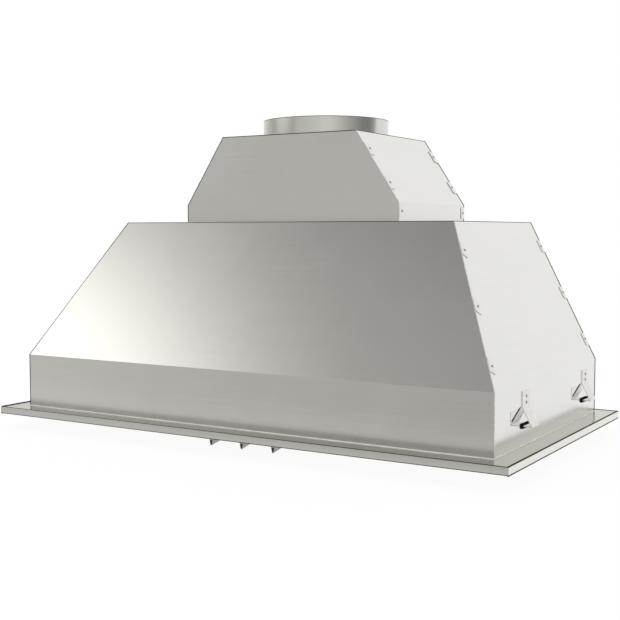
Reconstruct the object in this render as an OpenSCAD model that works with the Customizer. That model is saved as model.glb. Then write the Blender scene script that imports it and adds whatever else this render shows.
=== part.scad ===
// Range hood insert that hangs in a cabinet: a folded steel casing with a rim, a blower box with a
// round duct collar, side clips, a control strip with knobs and lamps, baffle filters that swing down,
// and inside them the blower, the damper and the wiring.
// Millimetres. X runs along the width, +Y to the back and +Z up.
// The origin is the centre of the four hanging holes, on the roof's upper face.

/* [Rim] */
// Depth of the rim in front of the body
lip_front = 42; // [30:1:60]
// Width of the rim beside the body
lip_side = 40.5; // [39.5:0.5:60]
// Depth of the rim behind the body
lip_rear = 26; // [18:1:40]
// Height of the folded rim
rim_h = 12; // [8:1:16]
// Width of the lip that is folded back under the rim
rim_return = 10; // [5:1:14]

/* [Body] */
// Height from the underside of the rim to the roof
body_h = 381.5; // [370:0.5:400]
// Height of the upright skirt above the rim
skirt_h = 104; // [90:1:120]
// How far the side walls lean in above the skirt
side_lean_w = 135.5; // [120:0.5:150]
// How far the front wall leans back above the skirt
front_lean_d = 148.5; // [120:0.5:160]
// Width of the roof beside the blower box
roof_side = 124.5; // [110:0.5:140]
// Depth of the roof in front of the blower box
roof_front = 38.5; // [36:0.5:60]
// Depth of the roof behind the blower box
roof_rear = 46; // [45:0.5:60]
// Thickness of the casing's sheet
sheet = 1.2; // [0.8:0.1:1.5]
// Height of the edges that are turned up inside a wall to join it
upstand_h = 14; // [10:1:20]

/* [Blower box] */
// Width of the box's top beside the collar
box_top_side = 24; // [20:1:40]
// Depth of the box's top in front of the collar and behind it
box_top_end = 20.5; // [19:0.5:24]
// How far the box's side walls lean in above its skirt
box_lean_w = 88.5; // [80:0.5:100]
// Height of the box above the roof
box_h = 167; // [165:1:180]
// Height of the box's upright skirt
box_skirt_h = 34; // [28:1:40]

/* [Duct collar] */
// Outer radius of the collar
collar_r = 125; // [118:1:126]
// Height of the collar above the box
collar_h = 34; // [25:1:60]
// Width of the collar's flange under the top plate
collar_flange_w = 13; // [8:1:14]

/* [Hanging holes] */
// Distance of a hanging hole from the roof's side edge
hang_inset = 52; // [30:1:70]
// Spacing of the hanging holes along the depth
hang_d = 280; // [260:1:300]
// Radius of a hanging hole
hang_hole_r = 4.5; // [3:0.5:6]

/* [Tabs and rivets] */
// Length of a riveted tab along its edge
tab_l = 23; // [18:1:28]
// Reach of a front tab across the side panel
tab_depth = 20; // [17:1:24]
// Reach of a rear tab across the side panel
rear_tab_depth = 15; // [14:1:20]
// Radius of a tab's rounded corner
tab_corner = 5; // [2:0.5:7]
// Distance of a rivet from the tab's edge
rivet_inset = 11; // [8:0.5:12]
// Radius of a rivet's head
rivet_r = 2.4; // [1.8:0.1:2.8]
// Height of a rivet's head
rivet_h = 0.9; // [0.5:0.1:1.5]

/* [Side clips] */
// Width of a clip's strip
clip_w = 32; // [24:1:40]
// Thickness of a clip's strip
clip_t = 1.5; // [1:0.1:2]
// How far a clip stands out from the wall
clip_reach = 38; // [34:1:39]
// Height of a clip's base above the rim
clip_base_h = 44; // [38:1:48]
// Height of the point where the two legs meet, above the rim
clip_apex_h = 73; // [68:1:76]
// Height of the strap's end above the rim
clip_top_h = 99; // [94:1:103]
// Distance of the front clip behind the body's front
clip_front_setback = 83; // [60:1:120]
// Distance of the rear clip behind the body's front
clip_rear_setback = 392; // [340:1:420]

/* [Control strip] */
// Depth of the control strip
strip_d = 93; // [88:1:97]
// Distance of the knobs and lamps behind the body's front
knob_setback = 48; // [44:1:52]
// Distance between neighbouring knobs
knob_pitch = 68; // [56:1:80]
// Radius of a knob's skirt
knob_r = 17; // [15:0.5:20]
// Drop of a knob's grip below the rim
knob_drop = 30; // [26:1:34]
// Distance of each lamp from the middle
lamp_x = 330; // [300:1:360]
// Radius of a lamp's lens
lamp_r = 27; // [22:1:30]

/* [Filters] */
// Number of filters side by side
filter_count = 3; // [3:1:3]
// Thickness of a filter
filter_h = 22; // [18:1:24]
// Rise of the filters towards the front, in degrees
filter_tilt = 6; // [3:0.5:7]
// Number of lower baffles in a filter
baffle_count = 7; // [6:1:8]
// Thickness of a filter's sheet
filter_sheet = 1; // [0.8:0.1:1.2]
// Drop of a filter's handle
handle_drop = 24; // [20:1:26]

/* [Blower] */
// Radius of the wheel
wheel_r = 95; // [88:1:95]
// Width of the wheel
wheel_w = 130; // [120:1:132]
// Number of blades in the wheel
blade_count = 36; // [30:1:42]
// Gap between the wheel and the scroll where it starts at the tongue
tongue_gap = 6; // [5:0.5:7]
// Gap between the wheel and the scroll where it ends at the outlet
outlet_gap = 40; // [35:1:43]
// Gap between the wheel and each side of the scroll
wheel_side_gap = 10; // [9:0.5:14]
// Radius of the motor
motor_r = 48; // [40:1:52]

/* [Hidden] */

$fn = 96;

// Overrun of every cut past the surface that it opens
cut = 1;
// Gap between pieces that are set into each other
fit_gap = 0.3;
// Radial clearance of a shaft that turns
running_gap = 0.05;

// Widths, heights and depths of the casing, from the collar outwards
box_top_w = 2 * (collar_r + box_top_side);
box_w = box_top_w + 2 * box_lean_w;
roof_w = box_w + 2 * roof_side;
body_w = roof_w + 2 * side_lean_w;
box_d = 2 * (collar_r + box_top_end);
box_front_y = -box_d / 2;
box_rear_y = box_d / 2;
roof_front_y = box_front_y - roof_front;
front_y = roof_front_y - front_lean_d;
rear_y = box_rear_y + roof_rear;
body_d = rear_y - front_y;
base_z = -body_h;
rim_top_z = base_z + rim_h;
wall_z = rim_top_z - sheet;
knee_z = rim_top_z + skirt_h;
hang_w = roof_w - 2 * hang_inset;
// Side of a block that is larger than the casing
block = body_w + body_d;

// Outer lines of the walls, from bottom to top: the sides in X and Z, the front in Y and Z
body_side_line = [[body_w / 2, wall_z], [body_w / 2, knee_z], [roof_w / 2, 0]];
body_front_line = [[front_y, wall_z], [front_y, knee_z], [roof_front_y, 0]];
box_side_line = [[box_w / 2, 0], [box_w / 2, box_skirt_h], [box_top_w / 2, box_h]];

// Places of the tabs as shares of the height of the leaning wall, and on the box's skirt
body_tab_shares = [0.142, 0.48, 0.82];
body_front_tab_shares = [0.156, 0.493, 0.832];
box_tab_shares = [0.27, 0.74];
skirt_tab_share = 0.54;
rivet_chamfer_share = 0.6;
rivet_lift = 0.02;

// Side clips: gap between the strap's two layers, place of the strap, rivets and the rubber pad
strap_gap = 0.2;
clip_apex_share = 0.51;
clip_foot_h = 22;
clip_rivet_r = 3;
clip_rivet_h = 1.2;
clip_rivet_inset = 9;
clip_rivet_pitch = 10;
clip_rivet_heights = [clip_top_h - clip_rivet_inset - clip_rivet_pitch, clip_top_h - clip_rivet_inset];
pad_w = 6;
pad_above = 1.3;
pad_below = 3.6;
pad_overhang = 0.8;

// Control strip
strip_lift = 1;
strip_leg_h = 22;
knob_y = front_y + knob_setback;
strip_front_y = front_y + 2 * sheet + fit_gap;
strip_rear_y = strip_front_y + strip_d;
strip_z = base_z + strip_lift;
strip_w = body_w - 4 * sheet - 2 * fit_gap;
bezel_w = 3;
bezel_r = knob_r + bezel_w;
bezel_h = 2;
knob_gap = 0.5;
knob_skirt_h = 18;
knob_skirt_draft = 1;
knob_edge = 1;
grip_half_w = 4;
grip_tip_half_w = 1.6;
grip_rear_share = 0.43;
grip_end = 2;
shaft_r = 3;
shaft_in_knob = 12;
shaft_in_switch = 16;
bushing_r = 4.8;
bushing_l = 2.6;
switch_w = 30;
switch_h = 20;
terminal_w = 5;
terminal_h = 8;
terminal_t = 0.8;
lamp_bezel_w = 7;
lamp_bezel_h = 1.6;
lamp_lens_h = 3;
lamp_shell_w = 4;
lamp_housing_r = lamp_r + lamp_shell_w;
lamp_housing_h = 42;
lamp_wall = 1.5;
fin_count = 8;
fin_reach = 6;
fin_t = 1.6;
driver_size = [92, 44, 30];
driver_spacing = 130;
driver_x = lamp_x - driver_spacing;
control_size = [60, 50, 45];
control_spacing = 150;
control_x = control_spacing - lamp_x;

// Filters: they turn about a rod along their rear edge
rail_d = 14;
rail_h = 40;
swing_room = 15.5;
rod_r = 3;
rod_lift = 20;
rear_rail_front_y = rear_y - 2 * sheet - fit_gap - rail_d;
hinge_y = rear_rail_front_y - swing_room;
hinge_z = base_z + rod_lift;
front_room = 0.9;
front_span = hinge_y - strip_rear_y - front_room;
filter_reach = sqrt(front_span * front_span - filter_h * filter_h / 4);
side_rail_w = 8;
side_rail_h = 96;
side_out_x = body_w / 2 - 2 * sheet - fit_gap;
side_in_x = side_out_x - side_rail_w;
filter_edge_gap = 1.5;
filter_spacing = 4;
filter_w = (2 * side_in_x - 2 * filter_edge_gap - (filter_count - 1) * filter_spacing) / filter_count;
filter_lip = 14;
filter_rear = 7;
knuckle_r = 5.5;
knuckle_l = 20;
knuckle_share = 0.3;
knuckle_mouth = 4.6;
knuckle_web_h = 5;
baffle_pitch = (filter_w - 2 * filter_sheet) / baffle_count;
baffle_share = 0.79;
baffle_depth = 8;
cover_share = 0.6;
handle_r = 3.5;
handle_inset = 55;
bracket_t = 2;
bracket_edge = 6;
magnet_r = 6;
magnet_h = 3;
magnet_inset = 11;
magnet_share = 0.25;
ledge_d = 18;
ledge_w = filter_h / 2 + fit_gap + magnet_h;

// Blower, hung from the box's top
outlet_plate_t = 4.2;
outlet_plate_inset = 8;
outlet_z = box_h - sheet - outlet_plate_t;
outlet_flange_w = 14;
outlet_flange_t = 2;
wheel_drop = 113;
wheel_setback = 119;
wheel_y = box_front_y + wheel_setback;
wheel_z = outlet_z - wheel_drop;
tongue_angle = 75;
scroll_sheet = 1;
scroll_part_count = 48;
scroll_start_r = wheel_r + tongue_gap;
scroll_end_r = wheel_r + outlet_gap;
scroll_w = wheel_w + 2 * wheel_side_gap;
scroll_top_z = outlet_z - outlet_flange_t;
tongue_y = wheel_y + scroll_start_r * cos(tongue_angle);
blade_depth = 13;
blade_t = 1;
blade_angle = 9;
blade_part_count = 4;
inlet_inset = 10;
inlet_r = wheel_r - blade_depth - inlet_inset;
inlet_lip = 5;
ring_t = 2;
web_t = 1.5;
hub_r = 15;
hub_l = 26;
hub_out = 12;
axle_r = 6;
motor_start = 18;
motor_l = 94;
motor_cap = 8;
motor_boss_r = 20;
arm_w = 12;
arm_t = 2;
arm_foot = 12;
arm_r = inlet_r + arm_foot;
arm_ring_w = 12;
arm_lift = 7.8;
arm_angles = [90, 210, 330];
nut_r = 5.5;
nut_h = 5;
capacitor_r = 20;
capacitor_l = 62;
capacitor_x = 150;
capacitor_z = 30;
strap_t = 1;
strap_h = 14;
strap_ear = 12;

// Damper inside the collar: two flaps on one pin
damper_lift = 9;
flap_t = 0.8;
flap_gap = 2.2;
flap_start = 4;
pin_r = 2;
pin_knuckle_r = 3.4;
pin_knuckle_l = 16;
pin_knuckle_shares = [-0.69, 0.395];
stop_w = 6.5;

// Wiring
jbox_size = [110, 44, 50];
jbox_x = -150;
jbox_wall = 1.2;
jbox_y = rear_y - sheet - jbox_size[1];
gland_y = jbox_y + jbox_size[1] / 2;
gland_bore_r = 5;
gland_shank_r = 10;
gland_hex_r = 14;
gland_hex_h = 6;
gland_body_r = 12;
gland_body_h = 12;
gland_dome_r = 9;
gland_dome_h = 6;
gland_nut_h = 5;
block_size = [70, 20, 16];
conduit_r = 6;
conduit_inset = 30;
conduit_x = jbox_x - conduit_inset;
conduit_lift = 125;
lead_r = 4;
lead_out = 26;

function unit(v) = v / norm(v);
function left_of(a, b) = let (d = unit(b - a)) [-d[1], d[0]];

// Point i of a line, moved by s to the line's left, with mitred corners
function shifted(line, i, s) =
    i == 0 ? line[0] + s * left_of(line[0], line[1]) :
    i == len(line) - 1 ? line[i] + s * left_of(line[i - 1], line[i]) :
    let (m = left_of(line[i - 1], line[i]) + left_of(line[i], line[i + 1])) line[i] + 2 * s * m / (m * m);

// Outline of a folded sheet whose faces lie a and b to the left of a line
function folded(line, a, b) = concat(
    [for (i = [0:len(line) - 1]) shifted(line, i, a)],
    [for (i = [len(line) - 1:-1:0]) shifted(line, i, b)]);

// Closed outline between a right-hand line and its mirror image
function both_sides(line) = concat(line, [for (i = [len(line) - 1:-1:0]) [-line[i][0], line[i][1]]]);

// Place and lean of a leaning wall: its middle point is the knee, its last point the top edge
function x_at(line, z) =
    line[1][0] + (z - line[1][1]) * (line[2][0] - line[1][0]) / (line[2][1] - line[1][1]);
function lean(line) = atan2(line[2][1] - line[1][1], line[1][0] - line[2][0]);
function z_share(line, share) = line[1][1] + share * (line[2][1] - line[1][1]);

// A place in the filters' tilted plane, u to the rear of the hinge rod and w above it
function on_filter(u, w) = [
    hinge_y + u * cos(filter_tilt) + w * sin(filter_tilt),
    hinge_z - u * sin(filter_tilt) + w * cos(filter_tilt)];

module along_x(l) rotate([90, 0, 90]) linear_extrude(l, center = true) children();

module along_y(l) rotate([90, 0, 0]) linear_extrude(l, center = true) children();

module above(z) translate([-block, -block, z]) cube([2 * block, 2 * block, block]);

module both() {
    children();
    mirror([1, 0, 0]) children();
}

// A block given by its low corner in X, Y and Z and its size
module box_at(x, y, z, size) translate([x, y, z]) cube(size);

// A rectangular ring round the Z axis' parallel through cy, from z0 up
module frame_ring(w, y0, y1, inset, z0, h) {
    difference() {
        box_at(-w / 2, y0, z0, [w, y1 - y0, h]);
        box_at(-w / 2 + inset, y0 + inset, z0 - cut, [w - 2 * inset, y1 - y0 - 2 * inset, h + 2 * cut]);
    }
}

// Casing

module tab_shape(depth) {
    translate([0, -tab_l / 2]) {
        square([depth - tab_corner, tab_l]);
        translate([0, tab_corner]) square([depth, tab_l - tab_corner]);
        translate([depth - tab_corner, tab_corner]) circle(tab_corner);
    }
}

// A tab on the outside of a side wall: first its shape, then the section of the sheet that it grows from
module tab(line) {
    intersection() {
        along_y(2 * block) polygon(folded(line, 0, -sheet));
        along_x(2 * block) children(0);
    }
    intersection() {
        along_y(2 * block) polygon(folded(line, sheet, -sheet));
        along_x(2 * block) intersection() {
            children(0);
            children(1);
        }
    }
}

module body_front_tabs() {
    for (z = body_front_tab_heights)
        tab(body_side_line) {
            translate([x_at(body_front_line, z), z]) rotate(front_edge_angle) tab_shape(tab_depth);
            polygon(folded(body_front_line, 0, -sheet));
        }
}

module rear_tabs(line, edge_y, heights) {
    for (z = heights)
        tab(line) {
            translate([edge_y, z]) mirror([1, 0]) tab_shape(rear_tab_depth);
            translate([edge_y - sheet, z - tab_l]) square([sheet, 2 * tab_l]);
        }
}

module front_tabs(line, edge_y, heights) {
    for (z = heights)
        tab(line) {
            translate([edge_y, z]) tab_shape(tab_depth);
            translate([edge_y, z - tab_l]) square([sheet, 2 * tab_l]);
        }
}

// Turn of a tab whose edge follows the leaning front
front_edge_angle = 90 - lean(body_front_line);
body_front_tab_heights = [for (share = body_front_tab_shares) z_share(body_front_line, share)];
body_tab_heights = [for (share = body_tab_shares) z_share(body_side_line, share)];
box_tab_heights = [for (share = box_tab_shares) z_share(box_side_line, share)];
box_all_tab_heights = concat([box_skirt_h * skirt_tab_share], box_tab_heights);

module rim_frame() color("lightgray") {
    w = body_w + 2 * lip_side;
    y0 = front_y - lip_front;
    y1 = rear_y + lip_rear;
    difference() {
        box_at(-w / 2, y0, wall_z, [w, y1 - y0, sheet]);
        box_at(-body_w / 2, front_y, wall_z - cut, [body_w, body_d, sheet + 2 * cut]);
    }
    frame_ring(w, y0, y1, sheet, base_z, rim_h);
    frame_ring(w, y0, y1, rim_return, base_z, sheet);
    // The rim steps down under the walls and turns up inside them
    frame_ring(body_w + 2 * sheet, front_y - sheet, rear_y + sheet, sheet, wall_z - sheet, 2 * sheet);
    frame_ring(body_w + 2 * sheet, front_y - sheet, rear_y + sheet, 3 * sheet, wall_z - sheet, sheet);
    frame_ring(body_w - 2 * sheet, front_y + sheet, rear_y - sheet, sheet, wall_z - sheet,
        upstand_h + 2 * sheet);
}

module front_panel() color("silver") {
    difference() {
        intersection() {
            along_x(2 * block) polygon(folded(body_front_line, 0, -sheet));
            along_y(2 * block) polygon(both_sides(body_side_line));
        }
        above(-sheet);
    }
    both() body_front_tabs();
}

module rear_panel() color("silver") {
    difference() {
        intersection() {
            box_at(-block, rear_y - sheet, wall_z, [2 * block, sheet, block]);
            along_y(2 * block) polygon(both_sides(body_side_line));
        }
        above(-sheet);
    }
    both() rear_tabs(body_side_line, rear_y, body_tab_heights);
}

module side_panel() {
    inside = [for (i = [0:2]) shifted(body_front_line, i, -sheet)];
    rear = rear_y - sheet;
    difference() {
        intersection() {
            along_y(2 * block) polygon(folded(body_side_line, 0, sheet));
            along_x(2 * block) polygon(concat(inside, [[rear, 0], [rear, wall_z]]));
        }
        above(-sheet);
    }
}

module left_side_panel() color("gainsboro") mirror([1, 0, 0]) side_panel();

module right_side_panel() color("gainsboro") side_panel();

module roof_panel() color("silver") {
    in_w = box_w - 2 * sheet;
    in_y0 = box_front_y + sheet;
    in_y1 = box_rear_y - sheet;
    difference() {
        box_at(-roof_w / 2, roof_front_y, -sheet, [roof_w, rear_y - roof_front_y, sheet]);
        box_at(-in_w / 2 + sheet, in_y0 + sheet, -sheet - cut,
            [in_w - 2 * sheet, in_y1 - in_y0 - 2 * sheet, sheet + 2 * cut]);
        for (x = [-hang_w / 2, hang_w / 2], y = [-hang_d / 2, hang_d / 2])
            translate([x, y, -sheet - cut]) cylinder(r = hang_hole_r, h = sheet + 2 * cut);
        translate([jbox_x, gland_y, -sheet - cut]) cylinder(r = gland_shank_r + fit_gap, h = sheet + 2 * cut);
    }
    frame_ring(in_w, in_y0, in_y1, sheet, -sheet, upstand_h + sheet);
}

module box_end(y) {
    difference() {
        intersection() {
            box_at(-block, y, 0, [2 * block, sheet, block]);
            along_y(2 * block) polygon(both_sides(box_side_line));
        }
        above(box_h - sheet);
    }
}

module box_front() color("silver") {
    box_end(box_front_y);
    both() front_tabs(box_side_line, box_front_y, box_all_tab_heights);
}

module box_rear() color("silver") {
    box_end(box_rear_y - sheet);
    both() rear_tabs(box_side_line, box_rear_y, box_all_tab_heights);
}

module box_side() {
    difference() {
        intersection() {
            along_y(2 * block) polygon(folded(box_side_line, 0, sheet));
            box_at(-block, box_front_y + sheet, 0, [2 * block, box_d - 2 * sheet, block]);
        }
        above(box_h - sheet);
    }
}

module box_left() color("gainsboro") mirror([1, 0, 0]) box_side();

module box_right() color("gainsboro") box_side();

module box_top() color("silver") {
    difference() {
        box_at(-box_top_w / 2, box_front_y, box_h - sheet, [box_top_w, box_d, sheet]);
        translate([0, 0, box_h - sheet - cut]) cylinder(r = collar_r - sheet, h = sheet + 2 * cut);
    }
}

// The collar stands on a flange on the top plate. A ledge inside it stops the flaps.
module duct_collar() color("silver") {
    stop_z = damper_z - flap_t / 2 - fit_gap - sheet;
    difference() {
        rotate_extrude() {
            translate([collar_r - sheet, box_h]) square([sheet, collar_h]);
            translate([collar_r - sheet, box_h]) square([collar_flange_w + sheet, sheet]);
            translate([collar_r - sheet - stop_w, stop_z]) square([stop_w + sheet / 2, sheet]);
        }
        translate([0, 0, damper_z]) rotate([0, 90, 0])
            cylinder(r = pin_r + running_gap, h = 2 * (collar_r - sheet), center = true);
    }
}

// A low head with a chamfered rim, standing on Z = 0
module rivet_head(r, h) {
    rotate_extrude() polygon([[0, 0], [r, 0], [r, h / 2], [r * rivet_chamfer_share, h], [0, h]]);
}

// A rivet on the tab that covers a leaning or upright side wall, at a height on the wall's line
module rivet_on(line, y, z) {
    upright = z < line[1][1];
    translate([upright ? line[0][0] : x_at(line, z), y, z])
        rotate([0, upright ? 90 : lean(line), 0])
            translate([0, 0, sheet + rivet_lift]) rivet_head(rivet_r, rivet_h);
}

module casing_rivets() color("gray") both() {
    for (z = body_front_tab_heights)
        rivet_on(body_side_line, x_at(body_front_line, z) + rivet_inset * cos(front_edge_angle),
            z + rivet_inset * sin(front_edge_angle));
    for (z = body_tab_heights) rivet_on(body_side_line, rear_y - rear_tab_depth / 2, z);
    for (z = box_all_tab_heights) {
        rivet_on(box_side_line, box_front_y + rivet_inset, z);
        rivet_on(box_side_line, box_rear_y - rear_tab_depth / 2, z);
    }
}

// Side clips

// Line of the clip's strip in X and Z: down one layer of the strap, round the loop and up the other
function clip_line() =
    let (a = clip_reach * clip_apex_share, b = clip_base_h, c = 2 * clip_t) [
        [a - strap_gap / 2, clip_top_h], [a - strap_gap / 2, clip_apex_h], [c, b],
        [clip_reach - c, b], [a + strap_gap / 2, clip_apex_h], [a + strap_gap / 2, clip_top_h]];

module clip(setback) color("darkgray") {
    translate([body_w / 2, front_y + setback, rim_top_z]) {
        along_y(clip_w) polygon(folded(clip_line(), 0, -clip_t));
        box_at(0, -clip_w / 2, clip_base_h - clip_t, [clip_t, clip_w, clip_foot_h]);
    }
}

module each_clip() {
    for (setback = [clip_front_setback, clip_rear_setback])
        translate([body_w / 2, front_y + setback, rim_top_z]) children();
}

module clip_pads() color("black") both() each_clip() difference() {
    x = clip_reach * clip_apex_share - pad_w / 2;
    half_w = clip_w / 2 + pad_overhang;
    box_at(x, -half_w, clip_base_h - clip_t - pad_below, [pad_w, 2 * half_w, pad_below + clip_t + pad_above]);
    box_at(x - cut, -clip_w / 2, clip_base_h - clip_t, [pad_w + 2 * cut, clip_w, clip_t]);
}

module clip_rivets() color("dimgray") both() each_clip() {
    for (z = clip_rivet_heights)
        translate([clip_reach * clip_apex_share + strap_gap / 2 + clip_t, 0, z])
            rotate([0, 90, 0]) rivet_head(clip_rivet_r, clip_rivet_h);
}

// Control strip

module control_panel() color("silver") {
    ledge_u = (strip_rear_y - hinge_y - ledge_w * sin(filter_tilt)) / cos(filter_tilt);
    line = [
        [strip_front_y, strip_z + strip_leg_h], [strip_front_y, strip_z], [strip_rear_y, strip_z],
        on_filter(ledge_u, ledge_w), on_filter(ledge_u + ledge_d, ledge_w)];
    difference() {
        along_x(strip_w) polygon(folded(line, 0, sheet));
        for (x = knob_places())
            translate([x, knob_y, strip_z - cut]) cylinder(r = bushing_r + running_gap, h = sheet + 2 * cut);
        for (x = lamp_places())
            translate([x, knob_y, strip_z - cut]) cylinder(r = lamp_r + lamp_wall, h = sheet + 2 * cut);
        // Room for the side rails beside the ledge
        both() box_at(side_in_x - fit_gap, strip_rear_y, strip_z - cut, [block, 2 * ledge_d, block]);
    }
}

function knob_places() = [-knob_pitch, 0, knob_pitch];
function lamp_places() = [-lamp_x, lamp_x];

// A knob with a round skirt and a grip that narrows downwards and to the rear
module knob(x) color("lightgray") {
    top = strip_z - bezel_h - knob_gap;
    tip = base_z - knob_drop;
    skirt_z = top - knob_skirt_h;
    rear_tip = skirt_z + grip_rear_share * (tip - skirt_z);
    difference() {
        translate([x, knob_y, 0]) {
            rotate_extrude() polygon([
                [0, top], [knob_r - knob_edge, top], [knob_r, top - knob_edge],
                [knob_r - knob_skirt_draft, skirt_z + knob_edge],
                [knob_r - knob_skirt_draft - knob_edge, skirt_z], [0, skirt_z]]);
            intersection() {
                along_x(2 * knob_r) polygon([
                    [-knob_r + grip_end / 2, skirt_z + knob_edge], [-knob_r + grip_end / 2, tip],
                    [knob_r - 2 * grip_end, rear_tip], [knob_r - grip_end, skirt_z + knob_edge]]);
                along_y(2 * knob_r) polygon([
                    [-grip_half_w, skirt_z + knob_edge], [-grip_tip_half_w, tip],
                    [grip_tip_half_w, tip], [grip_half_w, skirt_z + knob_edge]]);
            }
        }
        translate([x, knob_y, top - shaft_in_knob]) cylinder(r = shaft_r, h = shaft_in_knob + cut);
    }
}

module knob_left() knob(-knob_pitch);

module knob_centre() knob(0);

module knob_right() knob(knob_pitch);

module shaft(x) color("gray") {
    low = strip_z - bezel_h - knob_gap - shaft_in_knob;
    translate([x, knob_y, low]) cylinder(r = shaft_r, h = strip_z + sheet + shaft_in_switch - low);
}

module shaft_left() shaft(-knob_pitch);

module shaft_centre() shaft(0);

module shaft_right() shaft(knob_pitch);

module knob_bezels() color("silver") {
    for (x = knob_places())
        translate([x, knob_y, strip_z - bezel_h]) difference() {
            cylinder(r = bezel_r, h = bezel_h);
            translate([0, 0, -cut]) cylinder(r = bushing_r + running_gap, h = bezel_h + 2 * cut);
        }
}

module rotary_switches() color("dimgray") {
    for (x = knob_places())
        translate([x, knob_y, strip_z + sheet]) {
            difference() {
                union() {
                    box_at(-switch_w / 2, -switch_w / 2, 0, [switch_w, switch_w, switch_h]);
                    translate([0, 0, -bushing_l]) cylinder(r = bushing_r, h = bushing_l + cut);
                }
                translate([0, 0, -bushing_l - cut])
                    cylinder(r = shaft_r + running_gap, h = bushing_l + cut + shaft_in_switch + fit_gap);
            }
            for (side = [-1, 1])
                box_at(side * switch_w / 4 - terminal_w / 2, -terminal_t / 2, switch_h - cut,
                    [terminal_w, terminal_t, terminal_h + cut]);
        }
}

module lamp_bezels() color("silver") {
    for (x = lamp_places())
        translate([x, knob_y, strip_z - lamp_bezel_h]) difference() {
            cylinder(r = lamp_r + lamp_bezel_w, h = lamp_bezel_h);
            translate([0, 0, -cut]) cylinder(r = lamp_r - lamp_wall, h = lamp_bezel_h + 2 * cut);
        }
}

module lamp_lenses() color("white") {
    for (x = lamp_places())
        translate([x, knob_y, strip_z]) cylinder(r = lamp_r, h = lamp_lens_h);
}

// A can over the lens, with cooling fins on its top
module lamp_housings() color("gray") {
    for (x = lamp_places())
        translate([x, knob_y, strip_z + sheet]) {
            difference() {
                cylinder(r = lamp_housing_r, h = lamp_housing_h);
                translate([0, 0, -cut]) cylinder(r = lamp_r + lamp_wall, h = lamp_lens_h + cut);
                translate([0, 0, lamp_lens_h - cut])
                    cylinder(r = lamp_r - lamp_wall, h = lamp_housing_h - lamp_lens_h + cut - lamp_wall);
            }
            for (i = [0:fin_count - 1])
                rotate([0, 0, i * 360 / fin_count])
                    box_at(lamp_r / 2, -fin_t / 2, lamp_housing_h - lamp_wall / 2,
                        [lamp_r / 2, fin_t, fin_reach + lamp_wall / 2]);
        }
}

module lamp_driver() color("whitesmoke") {
    box_at(driver_x - driver_size[0] / 2, knob_y - driver_size[1] / 2, strip_z + sheet, driver_size);
}

module speed_control() color("dimgray") {
    box_at(control_x - control_size[0] / 2, knob_y - control_size[1] / 2, strip_z + sheet, control_size);
}

// Filters

function filter_x(i) = (i - (filter_count - 1) / 2) * (filter_w + filter_spacing);

// Puts what is drawn in the filter's own plane, u along Y and w along Z, in its place
module in_filter(i) translate([filter_x(i), hinge_y, hinge_z]) rotate([-filter_tilt, 0, 0]) children();

module filter_frame(i) color("lightsteelblue") in_filter(i) {
    d = filter_reach - filter_rear;
    t = filter_sheet;
    difference() {
        box_at(-filter_w / 2, -filter_reach, -filter_h / 2, [filter_w, d, filter_h]);
        box_at(-filter_w / 2 + filter_lip, -filter_reach + filter_lip, -filter_h / 2 - cut,
            [filter_w - 2 * filter_lip, d - 2 * filter_lip, filter_h + 2 * cut]);
        box_at(-filter_w / 2 + t, -filter_reach + t, -filter_h / 2 + t,
            [filter_w - 2 * t, d - 2 * t, filter_h - 2 * t]);
    }
    for (side = [-1, 1])
        translate([side * filter_w * knuckle_share, 0, 0]) difference() {
            union() {
                rotate([0, 90, 0]) cylinder(r = knuckle_r, h = knuckle_l, center = true);
                box_at(-knuckle_l / 2, -filter_rear - t / 2, -knuckle_web_h / 2,
                    [knuckle_l, filter_rear + t / 2, knuckle_web_h]);
            }
            rotate([0, 90, 0]) cylinder(r = rod_r + running_gap, h = knuckle_l + 2 * cut, center = true);
            box_at(-knuckle_l / 2 - cut, 0, -knuckle_mouth / 2,
                [knuckle_l + 2 * cut, knuckle_r + cut, knuckle_mouth]);
        }
}

module filter_frame_left() filter_frame(0);

module filter_frame_centre() filter_frame(1);

module filter_frame_right() filter_frame(2);

// A channel that opens upwards, or downwards where up is -1, as long as the inside of the frame
module baffle(w, up) {
    d = filter_reach - filter_rear - 2 * filter_sheet - 2 * fit_gap;
    line = [[-w / 2, up * baffle_depth], [-w / 2, 0], [w / 2, 0], [w / 2, up * baffle_depth]];
    translate([0, -filter_reach + filter_sheet + fit_gap + d / 2, 0])
        along_y(d) polygon(folded(line, 0, up * filter_sheet));
}

module baffles(i) color("lightgray") in_filter(i) {
    inner_w = filter_w - 2 * filter_sheet;
    low = -filter_h / 2 + filter_sheet;
    for (k = [0:baffle_count - 1])
        translate([-inner_w / 2 + (k + 1 / 2) * baffle_pitch, 0, low]) baffle(baffle_pitch * baffle_share, 1);
    for (k = [1:baffle_count - 1])
        translate([-inner_w / 2 + k * baffle_pitch, 0, -low]) baffle(baffle_pitch * cover_share, -1);
}

module baffles_left() baffles(0);

module baffles_centre() baffles(1);

module baffles_right() baffles(2);

// A bow handle of round bar under the middle baffles
module handle(i) color("silver") in_filter(i) translate([0, -filter_reach + handle_inset, 0]) {
    top = -filter_h / 2 + filter_sheet;
    low = top - handle_drop + handle_r;
    for (side = [-1, 1])
        translate([side * baffle_pitch, 0, low]) {
            cylinder(r = handle_r, h = top - low);
            sphere(r = handle_r);
        }
    translate([0, 0, low]) rotate([0, 90, 0]) cylinder(r = handle_r, h = 2 * baffle_pitch, center = true);
}

module handle_left() handle(0);

module handle_centre() handle(1);

module handle_right() handle(2);

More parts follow.
